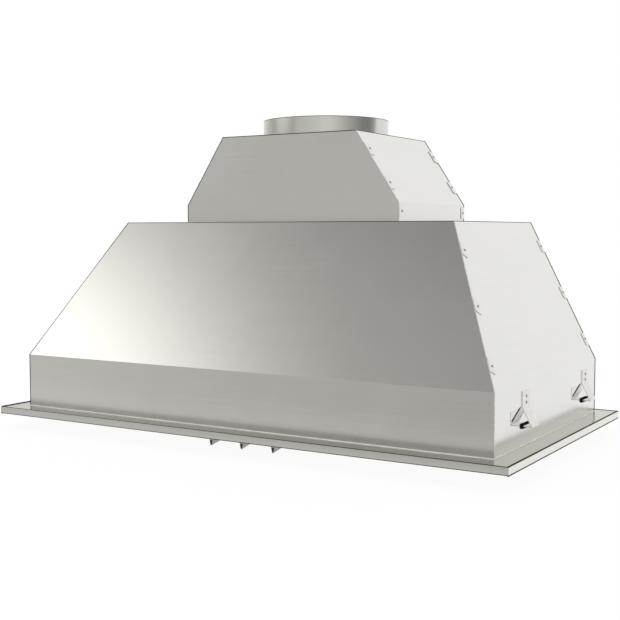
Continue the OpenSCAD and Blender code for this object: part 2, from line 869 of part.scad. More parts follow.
module side_rails() color("silver") both() {
    line = [
        [side_out_x, strip_z + strip_leg_h], [side_out_x, strip_z], [side_in_x, strip_z],
        [side_in_x, strip_z + side_rail_h]];
    y0 = strip_rear_y + fit_gap;
    y1 = rear_rail_front_y - fit_gap;
    translate([0, (y0 + y1) / 2, 0]) along_y(y1 - y0) polygon(folded(line, 0, -sheet));
}

module rear_rail() color("silver") {
    rear = rear_y - 2 * sheet - fit_gap;
    line = [
        [rear, strip_z + strip_leg_h], [rear, strip_z], [rear_rail_front_y, strip_z],
        [rear_rail_front_y, strip_z + rail_h]];
    along_x(strip_w) polygon(folded(line, 0, -sheet));
}

module hinge_rod() color("gray") {
    translate([0, hinge_y, hinge_z]) rotate([0, 90, 0]) cylinder(r = rod_r, h = 2 * side_in_x, center = true);
}

module rod_brackets() color("silver") {
    edge = rod_r + bracket_edge;
    for (i = [0:filter_count - 2])
        translate([(filter_x(i) + filter_x(i + 1)) / 2, 0, 0]) difference() {
            box_at(-bracket_t / 2, hinge_y - edge, hinge_z - edge,
                [bracket_t, edge + swing_room, 2 * edge]);
            translate([0, hinge_y, hinge_z]) rotate([0, 90, 0])
                cylinder(r = rod_r, h = bracket_t + 2 * cut, center = true);
        }
}

module filter_magnets() color("dimgray") {
    for (i = [0:filter_count - 1])
        in_filter(i) for (side = [-1, 1])
            translate([side * filter_w * magnet_share, -filter_reach + magnet_inset, filter_h / 2 + fit_gap])
                cylinder(r = magnet_r, h = magnet_h);
}

// Blower

function scroll_r(a) =
    scroll_start_r + (scroll_end_r - scroll_start_r) * (a - tongue_angle) / (360 - tongue_angle);
function scroll_point(a) = [wheel_y + scroll_r(a) * cos(a), wheel_z + scroll_r(a) * sin(a)];
function scroll_line(top) = concat(
    [[tongue_y, top]],
    [for (i = [0:scroll_part_count])
        scroll_point(tongue_angle + i * (360 - tongue_angle) / scroll_part_count)],
    [[wheel_y + scroll_end_r, top]]);

module blower_scroll() color("gainsboro") {
    y0 = tongue_y - outlet_flange_w;
    y1 = wheel_y + scroll_end_r + outlet_flange_w;
    w = scroll_w + 2 * outlet_flange_w;
    half_t = outlet_flange_t / 2;
    along_x(scroll_w) polygon(folded(scroll_line(scroll_top_z + half_t), 0, -scroll_sheet));
    frame_ring(w, y0, y1, outlet_flange_w, scroll_top_z, outlet_flange_t);
    for (x = stud_xs(), y = stud_ys())
        translate([x, y, scroll_top_z - nut_h]) cylinder(r = nut_r, h = nut_h + half_t, $fn = 6);
}

function stud_xs() = [-scroll_w / 2 - outlet_flange_w / 2, scroll_w / 2 + outlet_flange_w / 2];
function stud_ys() = [tongue_y - outlet_flange_w / 2, wheel_y + scroll_end_r + outlet_flange_w / 2];

module scroll_sides() color("gainsboro") both() {
    line = scroll_line(scroll_top_z);
    outline = [for (i = [0:len(line) - 1]) shifted(line, i, -scroll_sheet)];
    translate([scroll_w / 2, 0, 0]) difference() {
        union() {
            translate([sheet / 2, 0, 0]) along_x(sheet) polygon(outline);
            translate([-inlet_lip, wheel_y, wheel_z]) rotate([0, 90, 0])
                cylinder(r = inlet_r + sheet, h = inlet_lip + sheet);
        }
        translate([-inlet_lip - cut, wheel_y, wheel_z]) rotate([0, 90, 0])
            cylinder(r = inlet_r, h = inlet_lip + sheet + 2 * cut);
    }
}

// Centre line of a forward-curved blade, from the inner to the outer radius
function blade_line() = [for (j = [0:blade_part_count])
    let (s = j / blade_part_count, r = wheel_r - blade_depth + s * (blade_depth - blade_t / 2))
    r * [cos(blade_angle * s * s), sin(blade_angle * s * s)]];

module at_wheel() translate([0, wheel_y, wheel_z]) rotate([0, 90, 0]) children();

module blower_wheel() color("silver") at_wheel() {
    difference() {
        union() {
            for (i = [0:blade_count - 1])
                rotate([0, 0, i * 360 / blade_count]) linear_extrude(wheel_w, center = true)
                    polygon(folded(blade_line(), -blade_t / 2, blade_t / 2));
            for (side = [-1, 1])
                translate([0, 0, side * (wheel_w - ring_t) / 2]) difference() {
                    cylinder(r = wheel_r, h = ring_t, center = true);
                    cylinder(r = wheel_r - blade_depth, h = ring_t + 2 * cut, center = true);
                }
            cylinder(r = wheel_r, h = web_t, center = true);
            translate([0, 0, hub_out - hub_l]) cylinder(r = hub_r, h = hub_l);
        }
        cylinder(r = axle_r, h = wheel_w, center = true);
    }
}

module blower_motor() color("dimgray") at_wheel() {
    end = motor_start + motor_l;
    rotate_extrude() polygon([
        [axle_r + running_gap, motor_start - motor_cap / 2], [motor_boss_r, motor_start - motor_cap / 2],
        [motor_boss_r, motor_start], [motor_r - motor_cap, motor_start], [motor_r, motor_start + motor_cap],
        [motor_r, end - motor_cap], [motor_r - motor_cap, end], [0, end],
        [0, end - motor_cap], [axle_r + running_gap, end - motor_cap]]);
}

module motor_shaft() color("gray") at_wheel() {
    low = hub_out - hub_l - motor_cap / 2;
    translate([0, 0, low]) cylinder(r = axle_r, h = motor_start + motor_l - motor_cap - fit_gap - low);
}

// A band round the motor with three legs that stand on the scroll's side
module motor_bracket() color("gray") at_wheel() {
    foot_z = scroll_w / 2 + sheet;
    band_z = foot_z + arm_lift;
    translate([0, 0, band_z]) difference() {
        cylinder(r = motor_r + arm_t, h = arm_ring_w);
        translate([0, 0, -cut]) cylinder(r = motor_r, h = arm_ring_w + 2 * cut);
    }
    for (a = arm_angles)
        rotate([0, 0, a]) {
            box_at(motor_r + arm_t / 2, -arm_w / 2, band_z, [arm_r - motor_r - arm_t / 2, arm_w, arm_t]);
            box_at(arm_r - arm_t, -arm_w / 2, foot_z, [arm_t, arm_w, band_z + arm_t - foot_z]);
            box_at(arm_r - arm_t, -arm_w / 2, foot_z, [arm_foot, arm_w, arm_t]);
        }
}

module capacitor() color("lightgray") {
    y = box_rear_y - sheet - strap_t - capacitor_r;
    translate([capacitor_x, y, capacitor_z]) {
        cylinder(r = capacitor_r, h = capacitor_l);
        for (side = [-1, 1])
            box_at(side * capacitor_r / 2 - terminal_w / 2, -terminal_t / 2, capacitor_l - cut,
                [terminal_w, terminal_t, terminal_h + cut]);
        translate([0, 0, (capacitor_l - strap_h) / 2]) {
            difference() {
                cylinder(r = capacitor_r + strap_t, h = strap_h);
                translate([0, 0, -cut]) cylinder(r = capacitor_r - strap_t, h = strap_h + 2 * cut);
            }
            box_at(-capacitor_r - strap_ear, capacitor_r, 0,
                [2 * (capacitor_r + strap_ear), strap_t, strap_h]);
        }
    }
}

// Closes the top plate's round hole down to the blower's outlet
module outlet_plate() color("silver") {
    w = box_top_w - 2 * outlet_plate_inset;
    d = box_d - 2 * (sheet + fit_gap);
    difference() {
        box_at(-w / 2, -d / 2, outlet_z, [w, d, outlet_plate_t]);
        translate([0, 0, outlet_z - cut]) linear_extrude(outlet_plate_t + 2 * cut) intersection() {
            circle(collar_r - sheet);
            translate([-scroll_w / 2, tongue_y]) square([scroll_w, wheel_y + scroll_end_r - tongue_y]);
        }
    }
}

// Damper

damper_z = box_h + damper_lift;
flap_r = collar_r - sheet - flap_gap;

// The front flap, closed; turned by half a turn it makes the rear one, whose knuckles come beside these
module flap() {
    translate([0, 0, damper_z]) difference() {
        union() {
            translate([0, 0, -flap_t / 2]) linear_extrude(flap_t) difference() {
                circle(flap_r);
                translate([-collar_r, -flap_start]) square([2 * collar_r, 2 * collar_r]);
            }
            for (share = pin_knuckle_shares)
                translate([share * flap_r, 0, 0]) {
                    rotate([0, 90, 0]) cylinder(r = pin_knuckle_r, h = pin_knuckle_l, center = true);
                    box_at(-pin_knuckle_l / 2, -flap_start - flap_t, -flap_t / 2,
                        [pin_knuckle_l, flap_start + flap_t, flap_t]);
                }
        }
        rotate([0, 90, 0]) cylinder(r = pin_r + running_gap, h = 2 * collar_r, center = true);
    }
}

module damper_flap_front() color("lightgray") flap();

module damper_flap_rear() color("lightgray") rotate([0, 0, 180]) flap();

module damper_pin() color("gray") {
    translate([0, 0, damper_z]) rotate([0, 90, 0])
        cylinder(r = pin_r, h = 2 * (collar_r - sheet - fit_gap), center = true);
}

// Wiring

module cable_gland() translate([jbox_x, gland_y, 0]) {
    low = -sheet - jbox_wall - gland_nut_h;
    high = gland_hex_h + gland_body_h + gland_dome_h;
    difference() {
        union() {
            translate([0, 0, low]) cylinder(r = gland_shank_r, h = -low);
            translate([0, 0, low]) cylinder(r = gland_hex_r, h = gland_nut_h, $fn = 6);
            cylinder(r = gland_hex_r, h = gland_hex_h, $fn = 6);
            translate([0, 0, gland_hex_h]) cylinder(r = gland_body_r, h = gland_body_h);
            translate([0, 0, gland_hex_h + gland_body_h])
                cylinder(r1 = gland_body_r, r2 = gland_dome_r, h = gland_dome_h);
        }
        translate([0, 0, low - cut]) cylinder(r = gland_bore_r, h = high - low + 2 * cut);
    }
}

// The box under the roof, its cover, its terminal block and the gland above it
module junction_box() color("gray") {
    x0 = jbox_x - jbox_size[0] / 2;
    z0 = -sheet - jbox_size[2];
    difference() {
        box_at(x0, jbox_y, z0, jbox_size);
        box_at(x0 + jbox_wall, jbox_y - cut, z0 + jbox_wall,
            [jbox_size[0] - 2 * jbox_wall, jbox_size[1] - jbox_wall + cut, jbox_size[2] - 2 * jbox_wall]);
        translate([jbox_x, gland_y, -sheet - jbox_wall - cut])
            cylinder(r = (gland_bore_r + gland_shank_r) / 2, h = jbox_wall + 2 * cut);
    }
    box_at(x0, jbox_y - jbox_wall, z0, [jbox_size[0], 2 * jbox_wall, jbox_size[2]]);
    block_y = rear_y - sheet - jbox_wall / 2 - block_size[1];
    box_at(jbox_x - block_size[0] / 2, block_y, z0 + jbox_wall / 2, block_size);
    cable_gland();
}

// A round run through a list of places
module run(places, r) {
    for (i = [0:len(places) - 2]) {
        d = places[i + 1] - places[i];
        translate(places[i]) rotate([0, acos(d[2] / norm(d)), atan2(d[1], d[0])])
            cylinder(r = r, h = norm(d));
    }
    for (i = [1:1:len(places) - 2]) translate(places[i]) sphere(r = r);
}

module wiring() color("dimgray") {
    jbox_low = -sheet - jbox_size[2];
    conduit_z = base_z + conduit_lift;
    run([
        [conduit_x, gland_y, jbox_low], [conduit_x, gland_y, conduit_z],
        [conduit_x, knob_y, conduit_z], [conduit_x, knob_y, strip_z + sheet + control_size[2]]], conduit_r);
    jbox_right = jbox_x + jbox_size[0] / 2;
    motor_end = motor_start + motor_l;
    lead_z = jbox_low / 2 - lead_r;
    run([
        [jbox_right, gland_y, lead_z], [motor_end + lead_out, gland_y, lead_z],
        [motor_end + lead_out, wheel_y, lead_z], [motor_end + lead_out, wheel_y, wheel_z],
        [motor_end, wheel_y, wheel_z]], lead_r);
}

rim_frame();
front_panel();
rear_panel();
left_side_panel();
right_side_panel();
roof_panel();
box_front();
box_rear();
box_left();
box_right();
box_top();
duct_collar();
casing_rivets();
clip(clip_front_setback);  // clip_front_right
clip(clip_rear_setback);  // clip_rear_right
mirror([1, 0, 0]) clip(clip_front_setback);  // clip_front_left
mirror([1, 0, 0]) clip(clip_rear_setback);  // clip_rear_left
clip_pads();
clip_rivets();
control_panel();
knob_left();
knob_centre();
knob_right();
shaft_left();
shaft_centre();
shaft_right();
knob_bezels();
rotary_switches();
lamp_bezels();
lamp_lenses();
lamp_housings();
lamp_driver();
speed_control();
filter_frame_left();
filter_frame_centre();
filter_frame_right();
baffles_left();
baffles_centre();
baffles_right();
handle_left();
handle_centre();
handle_right();
side_rails();
rear_rail();
hinge_rod();
rod_brackets();
filter_magnets();
blower_scroll();
scroll_sides();
blower_wheel();
blower_motor();
motor_shaft();
motor_bracket();
capacitor();
outlet_plate();
damper_flap_front();
damper_flap_rear();
damper_pin();
junction_box();
wiring();
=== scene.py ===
"""Range hood insert: finishes, small fittings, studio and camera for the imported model."""
import math

import bmesh
import bpy
from bpy.props import FloatProperty, FloatVectorProperty, PointerProperty
from bpy.types import Operator, Panel, PropertyGroup
from mathutils import Matrix, Vector


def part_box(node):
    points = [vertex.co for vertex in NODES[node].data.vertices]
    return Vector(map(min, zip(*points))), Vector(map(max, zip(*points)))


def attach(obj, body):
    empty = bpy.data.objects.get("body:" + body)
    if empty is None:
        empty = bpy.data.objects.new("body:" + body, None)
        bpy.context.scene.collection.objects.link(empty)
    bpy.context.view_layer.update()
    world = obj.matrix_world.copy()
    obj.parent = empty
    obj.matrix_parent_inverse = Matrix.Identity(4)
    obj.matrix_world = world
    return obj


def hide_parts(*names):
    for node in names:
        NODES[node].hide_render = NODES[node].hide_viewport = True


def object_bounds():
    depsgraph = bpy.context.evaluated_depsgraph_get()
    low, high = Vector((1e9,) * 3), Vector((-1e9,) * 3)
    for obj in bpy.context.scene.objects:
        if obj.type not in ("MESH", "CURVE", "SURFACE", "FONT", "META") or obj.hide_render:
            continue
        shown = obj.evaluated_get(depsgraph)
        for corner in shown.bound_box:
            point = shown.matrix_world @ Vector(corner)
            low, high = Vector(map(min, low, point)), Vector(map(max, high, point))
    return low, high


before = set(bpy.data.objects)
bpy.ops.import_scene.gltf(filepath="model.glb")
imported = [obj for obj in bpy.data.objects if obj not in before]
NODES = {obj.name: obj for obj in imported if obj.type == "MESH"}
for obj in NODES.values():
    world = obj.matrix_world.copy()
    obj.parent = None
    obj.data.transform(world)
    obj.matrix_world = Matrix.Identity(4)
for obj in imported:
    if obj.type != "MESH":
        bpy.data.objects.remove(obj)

bl_info = {
    "name": "Range Hood Insert",
    "version": (1, 0, 0),
    "blender": (4, 5, 0),
    "location": "3D View > Sidebar > Range Hood",
    "description": "Finishes, fittings and studio for a range hood insert",
    "category": "Object",
}

MM = 0.001
CAD_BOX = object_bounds()

SIDES = ("left", "centre", "right")
CLIPS = ("clip_front_right", "clip_rear_right", "clip_front_left", "clip_rear_left")
SHEET = 1.2 * MM
# Outer lines of the walls from the rim to the top: X and Z for the sides, Y and Z for the front
BODY_SIDE = ((0.4975, -0.3707), (0.4975, -0.2655), (0.362, 0.0))
BODY_FRONT = ((-0.3325, -0.3707), (-0.3325, -0.2655), (-0.184, 0.0))
BOX_SIDE = ((0.2375, 0.0), (0.2375, 0.034), (0.149, 0.167))
BODY_REAR_Y, BOX_FRONT_Y, BOX_REAR_Y = 0.1915, -0.1455, 0.1455
RIM_TOP_Z = -0.3695
RIM_LOW_Z = -0.3815
# The side walls' skirt, the clips on it, and the middle of a clip above the wall
WALL_X = BODY_SIDE[0][0]
CLIP_YS = (-0.2495, 0.0595)
CLIP_RISE = 0.0194
# The control strip: line of the knobs and lamps, underside, spacing of the knobs, place of the lamps
KNOB_Y = -0.2845
STRIP_Z = -0.3805
KNOB_PITCH = 0.068
LAMP_X = 0.33
LAMP_CHIP_Z, LAMP_BOARD_Z = -0.3766, -0.3772
# Rivets lie this far behind a front tab's fold and before the rear wall
FRONT_RIVET_INSET = 0.011
REAR_RIVET_INSET = 0.0075
# Place of the dark ring that paints an outline of shade round the collar's top, and of the collar's rivets
COLLAR_SHADE_RING_R, COLLAR_SHADE_RING_Z = 0.1248, 0.2004
COLLAR_RIVET_R, COLLAR_RIVET_Z = 0.1315, 0.1682
MOTOR_AXIS = Vector((0, -0.0265, 0.0486))
MOTOR_R = 0.048
GLAND_X, GLAND_Y = -0.15, 0.1683
# Where the camera and the key light stand, and where the light aims
CAMERA_PLACE = (1.1073, -1.8745, -0.0186)
CAMERA_TILT, CAMERA_TURN = math.radians(85.82), math.radians(31.42)
KEY_PLACE = Vector((-3.09, -1.56, 1.29))
KEY_AIM = Vector((-0.3, -0.26, -0.15))
# Middle height of the glowing screens that only reflections see, and the turn of +X to the front
SCREEN_Z = -0.1
TO_FRONT = Matrix.Rotation(-math.pi / 2, 4, "Z")


def linear(level):
    """The linear value of a display level from 0 to 255."""
    c = level / 255
    return c / 12.92 if c <= 0.04045 else ((c + 0.055) / 1.055) ** 2.4


def tone(r, g, b):
    """A linear colour from three display levels."""
    return (linear(r), linear(g), linear(b), 1.0)


# Finishes

class Nodes:
    """A node tree, and short ways to add and join its nodes."""

    def __init__(self, tree):
        self.tree = tree
        tree.nodes.clear()

    def add(self, kind, **settings):
        """A new node with its settings."""
        node = self.tree.nodes.new(kind)
        for key, value in settings.items():
            setattr(node, key, value)
        return node

    def join(self, source, target):
        """Links an output to an input."""
        self.tree.links.new(source, target)

    def either(self, a, b):
        """The larger of two values."""
        node = self.add("ShaderNodeMath", operation="MAXIMUM")
        self.join(a, node.inputs[0])
        self.join(b, node.inputs[1])
        return node.outputs[0]

    def blend(self, share, a, b):
        """A shader between two shaders."""
        node = self.add("ShaderNodeMixShader")
        for source, target in zip((share, a.outputs[0], b.outputs[0]), node.inputs):
            self.join(source, target)
        return node


class Finish(Nodes):
    """One material with a principled shader, and short ways to make its textures."""

    def __init__(self, name):
        self.material = bpy.data.materials.new(name)
        self.material.use_nodes = True
        super().__init__(self.material.node_tree)
        self.shader = self.add("ShaderNodeBsdfPrincipled")
        self.output = self.add("ShaderNodeOutputMaterial")
        self.join(self.shader.outputs[0], self.output.inputs["Surface"])

    def set(self, **values):
        """Sets the shader's own sockets."""
        for key, value in values.items():
            self.shader.inputs[key.replace("_", " ")].default_value = value
        return self

    def place(self, scale=(1, 1, 1)):
        """Object coordinates, stretched."""
        coordinates = self.add("ShaderNodeTexCoord")
        mapping = self.add("ShaderNodeMapping")
        mapping.inputs["Scale"].default_value = scale
        self.join(coordinates.outputs["Object"], mapping.inputs["Vector"])
        return mapping.outputs[0]

    def noise(self, vector, scale, detail=3.0, roughness=0.5, distortion=0.0):
        """A noise texture's value."""
        node = self.add("ShaderNodeTexNoise")
        for key, value in (("Scale", scale), ("Detail", detail), ("Roughness", roughness),
                           ("Distortion", distortion)):
            node.inputs[key].default_value = value
        self.join(vector, node.inputs["Vector"])
        return node.outputs["Fac"]

    def spread(self, value, low, high, start=0.3, end=0.7):
        """Maps a texture's middle range to a range of values."""
        node = self.add("ShaderNodeMapRange")
        for key, number in (("From Min", start), ("From Max", end), ("To Min", low), ("To Max", high)):
            node.inputs[key].default_value = number
        self.join(value, node.inputs["Value"])
        return node.outputs[0]

    def sum(self, a, b, share):
        """A value between two values."""
        node = self.add("ShaderNodeMix", data_type="FLOAT")
        node.inputs[0].default_value = share
        self.join(a, node.inputs[2])
        self.join(b, node.inputs[3])
        return node.outputs[0]

    def tint(self, value, dark, light, start=0.3, end=0.7):
        """Colours a texture between two colours."""
        ramp = self.add("ShaderNodeValToRGB")
        for stop, position, colour in zip(ramp.color_ramp.elements, (start, end), (dark, light)):
            stop.position, stop.color = position, colour
        self.join(value, ramp.inputs[0])
        self.join(ramp.outputs[0], self.shader.inputs["Base Color"])

    def paint_light_by_facing(self, value, front, side, top, low, high):
        """A front, side or top colour by where the surface faces, darkened and lightened by a texture. The
        side and top colours are painted light and shade on one material.
        """
        normal = self.add("ShaderNodeNewGeometry")
        size = self.add("ShaderNodeVectorMath", operation="ABSOLUTE")
        parts = self.add("ShaderNodeSeparateXYZ")
        self.join(normal.outputs["Normal"], size.inputs[0])
        self.join(size.outputs[0], parts.inputs[0])
        colour = None
        for axis, other in (("X", side), ("Z", top)):
            mix = self.add("ShaderNodeMix", data_type="RGBA")
            mix.inputs[6].default_value, mix.inputs[7].default_value = front, other
            if colour:
                self.join(colour, mix.inputs[6])
            self.join(self.spread(parts.outputs[axis], 0.0, 1.0, 0.62, 0.72), mix.inputs[0])
            colour = mix.outputs[2]
        grain = self.add("ShaderNodeMix", data_type="RGBA", blend_type="MULTIPLY")
        grain.inputs[0].default_value = 1.0
        self.join(colour, grain.inputs[6])
        self.join(self.spread(value, low, high), grain.inputs[7])
        self.join(grain.outputs[2], self.shader.inputs["Base Color"])

    def roughen(self, value, low, high, start=0.3, end=0.7):
        """Varies the roughness by a texture."""
        self.join(self.spread(value, low, high, start, end), self.shader.inputs["Roughness"])

    def bump(self, *layers):
        """Stacks height textures, each given as (value, height in metres)."""
        normal = None
        for value, height in layers:
            node = self.add("ShaderNodeBump")
            node.inputs["Distance"].default_value = height
            self.join(value, node.inputs["Height"])
            if normal:
                self.join(normal, node.inputs["Normal"])
            normal = node.outputs[0]
        self.join(normal, self.shader.inputs["Normal"])


def shade(colour, factor):
    """A lighter or darker colour."""
    return tuple(min(1.0, c * factor) for c in colour[:3]) + (1.0,)


def brushed_steel(name, colour, roughness, along, grain, wave=0.0006, side=None, top=None):
    """Sheet steel with a fine grain along one axis, faint smears and a slight waviness. Side and top colours,
    when given, are painted light and shade by facing.
    """
    finish = Finish(name)
    fine = {"X": (14, 2600, 2600), "Y": (2600, 14, 2600), "Z": (2600, 2600, 14)}[along]
    coarse = {"X": (4, 420, 420), "Y": (420, 4, 420), "Z": (420, 420, 4)}[along]
    hair = finish.noise(finish.place(fine), 1.0, 2.0, 0.6)
    streak = finish.noise(finish.place(coarse), 1.0, 3.0, 0.55)
    smear = finish.noise(finish.place((9, 9, 9)), 1.0, 4.0, 0.55, 0.6)
    swell = finish.noise(finish.place((3.2, 3.2, 3.2)), 1.0, 1.0, 0.4)
    grainy = finish.sum(hair, streak, 0.45)
    tones = finish.sum(grainy, smear, 0.3)
    finish.paint_light_by_facing(tones, colour, side or colour, top or colour, 0.955, 1.035)
    finish.roughen(finish.sum(streak, smear, 0.6), roughness * 0.93, roughness * 1.08)
    finish.bump((swell, wave), (hair, grain))
    axis = finish.add("ShaderNodeCombineXYZ")
    axis.inputs["XYZ".index(along)].default_value = 1.0
    turned = finish.add("ShaderNodeVectorTransform", vector_type="VECTOR", convert_from="OBJECT",
                        convert_to="WORLD")
    finish.join(axis.outputs[0], turned.inputs[0])
    finish.join(turned.outputs[0], finish.shader.inputs["Tangent"])
    return finish.set(Metallic=1.0, Anisotropic=0.5, Anisotropic_Rotation=0.25).material


def plain_metal(name, colour, roughness, mottle=60.0, height=0.00002):
    """Turned, cast or plated metal with a fine even texture."""
    finish = Finish(name)
    spots = finish.noise(finish.place(), mottle, 4.0, 0.6)
    grit = finish.noise(finish.place(), 1500.0, 2.0, 0.5)
    finish.tint(spots, shade(colour, 0.86), shade(colour, 1.07))
    finish.roughen(spots, roughness * 0.8, roughness * 1.25)
    finish.bump((grit, height))
    return finish.set(Metallic=1.0).material


def zinc_coat(name, colour, roughness):
    """Galvanised sheet: patches of crystals, each with its own tone."""
    finish = Finish(name)
    cells = finish.add("ShaderNodeTexVoronoi", feature="F1", distance="EUCLIDEAN")
    cells.inputs["Scale"].default_value = 95.0
    finish.join(finish.place(), cells.inputs["Vector"])
    tones = finish.add("ShaderNodeSeparateColor")
    finish.join(cells.outputs["Color"], tones.inputs[0])
    cloud = finish.noise(finish.place(), 16.0, 3.0)
    finish.tint(finish.sum(tones.outputs[0], cloud, 0.4), shade(colour, 0.8), shade(colour, 1.1), 0.15, 0.85)
    finish.roughen(tones.outputs[1], roughness * 0.75, roughness * 1.3, 0.0, 1.0)
    grit = finish.noise(finish.place(), 900.0, 2.0)
    finish.bump((grit, 0.00002))
    return finish.set(Metallic=0.9).material


def moulded(name, colour, roughness, grain_height=0.00003, grain_scale=1400.0, specular=0.4):
    """Moulded plastic or rubber with a fine leathery grain and slight wear in its tone."""
    finish = Finish(name)
    cells = finish.add("ShaderNodeTexVoronoi", feature="SMOOTH_F1")
    cells.inputs["Scale"].default_value = grain_scale
    finish.join(finish.place(), cells.inputs["Vector"])
    cloud = finish.noise(finish.place(), 45.0, 4.0)
    finish.tint(cloud, shade(colour, 0.85), shade(colour, 1.18))
    finish.roughen(cloud, roughness * 0.9, roughness * 1.1)
    finish.bump((cells.outputs["Distance"], grain_height))
    return finish.set(Specular_IOR_Level=specular).material


def painted(name, colour, roughness):
    """Sprayed enamel with a slight orange peel."""
    finish = Finish(name)
    peel = finish.noise(finish.place(), 420.0, 2.0)
    cloud = finish.noise(finish.place(), 20.0, 3.0)
    finish.tint(cloud, shade(colour, 0.94), shade(colour, 1.05))
    finish.roughen(peel, roughness * 0.85, roughness * 1.2)
    finish.bump((peel, 0.00004))
    return finish.set(Coat_Weight=0.3, Coat_Roughness=0.2).material


def lens_glass(name):
    """Frosted lamp glass with fine prisms."""
    finish = Finish(name)
    prisms = finish.add("ShaderNodeTexVoronoi", feature="F1")
    prisms.inputs["Scale"].default_value = 420.0
    finish.join(finish.place(), prisms.inputs["Vector"])
    cloud = finish.noise(finish.place(), 160.0, 3.0)
    finish.tint(cloud, (0.86, 0.87, 0.86, 1), (0.97, 0.97, 0.96, 1))
    finish.roughen(cloud, 0.3, 0.45)
    finish.bump((prisms.outputs["Distance"], 0.0004))
    return finish.set(Transmission_Weight=0.55, IOR=1.49).material


FINISHES = {}


def make_finishes(look):
    """Fills FINISHES with the hood's materials."""
    # The side colour is the casing steel made lighter on sideways faces: painted light.
    steel, side = tuple(look.steel_colour) + (1.0,), tuple(look.lit_side_colour) + (1.0,)
    grain, rough = look.grain_height * MM, look.steel_roughness
    # The rim's front takes a darker copy of the steel and its top a darker, warmer copy: painted shade by
    # facing. Its sides take the lighter side colour: painted light.
    shaded_warm_top = (steel[0] * 0.77, steel[1] * 0.765, steel[2] * 0.7, 1)
    FINISHES.update({
        # The front steel's sideways faces, such as its tabs, take the lighter side colour: painted light.
        "front": brushed_steel("steel_front", steel, rough, "X", grain, side=side),
        "side": brushed_steel("painted_lit_steel_side", side, look.side_roughness, "Y", grain),
        "collar": brushed_steel("steel_collar", steel, 0.17, "Z", grain * 0.5, 0.0003),
        # A near-black steel for the beads that paint a dark outline of shade along the casing's edges and
        # round the collar.
        "seam": plain_metal("painted_outline_steel", shade(steel, 0.13), 0.4, 200.0, 0.000004),
        # A pale colour for the bead that paints the highlight where the walls meet the rim.
        "sealant": moulded("painted_foot_highlight", tone(252, 252, 248), 0.5, 0.00001),
        "rim": brushed_steel("steel_rim", shade(steel, 0.74), look.rim_roughness, "X", grain * 0.6, 0.0002,
                             side=side, top=shaded_warm_top),
        "knob": plain_metal("knob_metal", shade(steel, 0.5), 0.3, 40.0, 0.000006),
        # A near-black for the rim's edge beads, which paint lines of shade.
        "shade_hem": moulded("painted_shade_hem", tone(46, 45, 42), 0.6, 0.00001, 900.0, 0.1),
        # A lighter steel for the beads that paint a highlight line along the right front edges.
        "edge": plain_metal("painted_highlight_steel", shade(steel, 1.1), 0.25, 200.0, 0.000004),
        "strip": brushed_steel("steel_strip", steel, rough * 0.9, "X", grain),
        "filter": brushed_steel("steel_filter", shade(steel, 0.94), rough * 0.85, "Y", grain, 0.0003),
        # The clips take the lighter side colour too: painted light.
        "clip": plain_metal("spring_steel", shade(side, 1.04), 0.34, 120.0, 0.00001),
        "rivet": plain_metal("rivet_steel", shade(steel, 0.55), 0.36, 300.0),
        "polished": plain_metal("polished_metal", shade(steel, 1.05), 0.16, 40.0, 0.000006),
        "shaft": plain_metal("turned_steel", shade(steel, 0.8), 0.28, 200.0),
        "zinc": zinc_coat("galvanised_sheet", tone(186, 190, 192), 0.42),
        "wheel": plain_metal("wheel_sheet", tone(178, 182, 186), 0.4, 90.0),
        "motor": painted("motor_enamel", tone(64, 66, 70), 0.42),
        "can": plain_metal("cast_aluminium", tone(190, 191, 190), 0.5, 140.0, 0.0001),
        "rubber": moulded("black_rubber", tone(24, 24, 25), 0.75, 0.00005, 900.0, 0.06),
        # A dark brown for the strips on the clips' legs, which paint shade.
        "leg_shade": moulded("painted_leg_shade", tone(72, 67, 60), 0.8, 0.00005, 900.0, 0.06),
        "plastic": moulded("dark_plastic", tone(40, 41, 44), 0.45),
        "white_plastic": moulded("white_plastic", tone(224, 224, 219), 0.42),
        "board": painted("board_mask", tone(214, 214, 206), 0.4),
        "lens": lens_glass("lamp_glass"),
        "conduit": moulded("conduit_plastic", tone(54, 56, 60), 0.5, 0.00004, 700.0),
        "magnet": plain_metal("magnet_plating", tone(120, 122, 126), 0.3, 200.0),
        # A black for printed marks and the knobs' front plates, and for the painted shade of the motor's
        # slots.
        "black_print_and_shade": moulded("black_enamel_and_painted_shade", tone(24, 24, 26), 0.5, 0.00001),
    })


# Shapes

def dress(names, finish, edge=0.0, segments=2):
    """Gives CAD nodes their finish, and rounds their edges by a modifier."""
    for name in names:
        piece = NODES[name]
        for holder in piece.material_slots:
            holder.link = "OBJECT"
            holder.material = FINISHES[finish]
        if edge:
            weld = piece.modifiers.new("join_faces", "WELD")
            weld.merge_threshold = 0.000002
            rounded = piece.modifiers.new("round_edges", "BEVEL")
            rounded.width = edge
            rounded.segments = segments
            rounded.limit_method = "ANGLE"
            rounded.angle_limit = math.radians(30)
            rounded.use_clamp_overlap = True
            flat = piece.modifiers.new("flat_faces", "WEIGHTED_NORMAL")
            flat.keep_sharp = True


def object_from(mesh_name, verts, faces, finish, body, smooth=35.0):
    """A new piece on a body, with smooth shading up to an angle in degrees."""
    mesh = bpy.data.meshes.new(mesh_name)
    mesh.from_pydata(verts, [], faces)
    work = bmesh.new()
    work.from_mesh(mesh)
    bmesh.ops.remove_doubles(work, verts=work.verts, dist=0.0000005)
    bmesh.ops.recalc_face_normals(work, faces=work.faces)
    work.to_mesh(mesh)
    work.free()
    mesh.shade_smooth()
    mesh.set_sharp_from_angle(angle=math.radians(smooth))
    mesh.materials.append(FINISHES[finish])
    piece = bpy.data.objects.new(mesh_name, mesh)
    bpy.context.collection.objects.link(piece)
    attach(piece, body)
    return piece


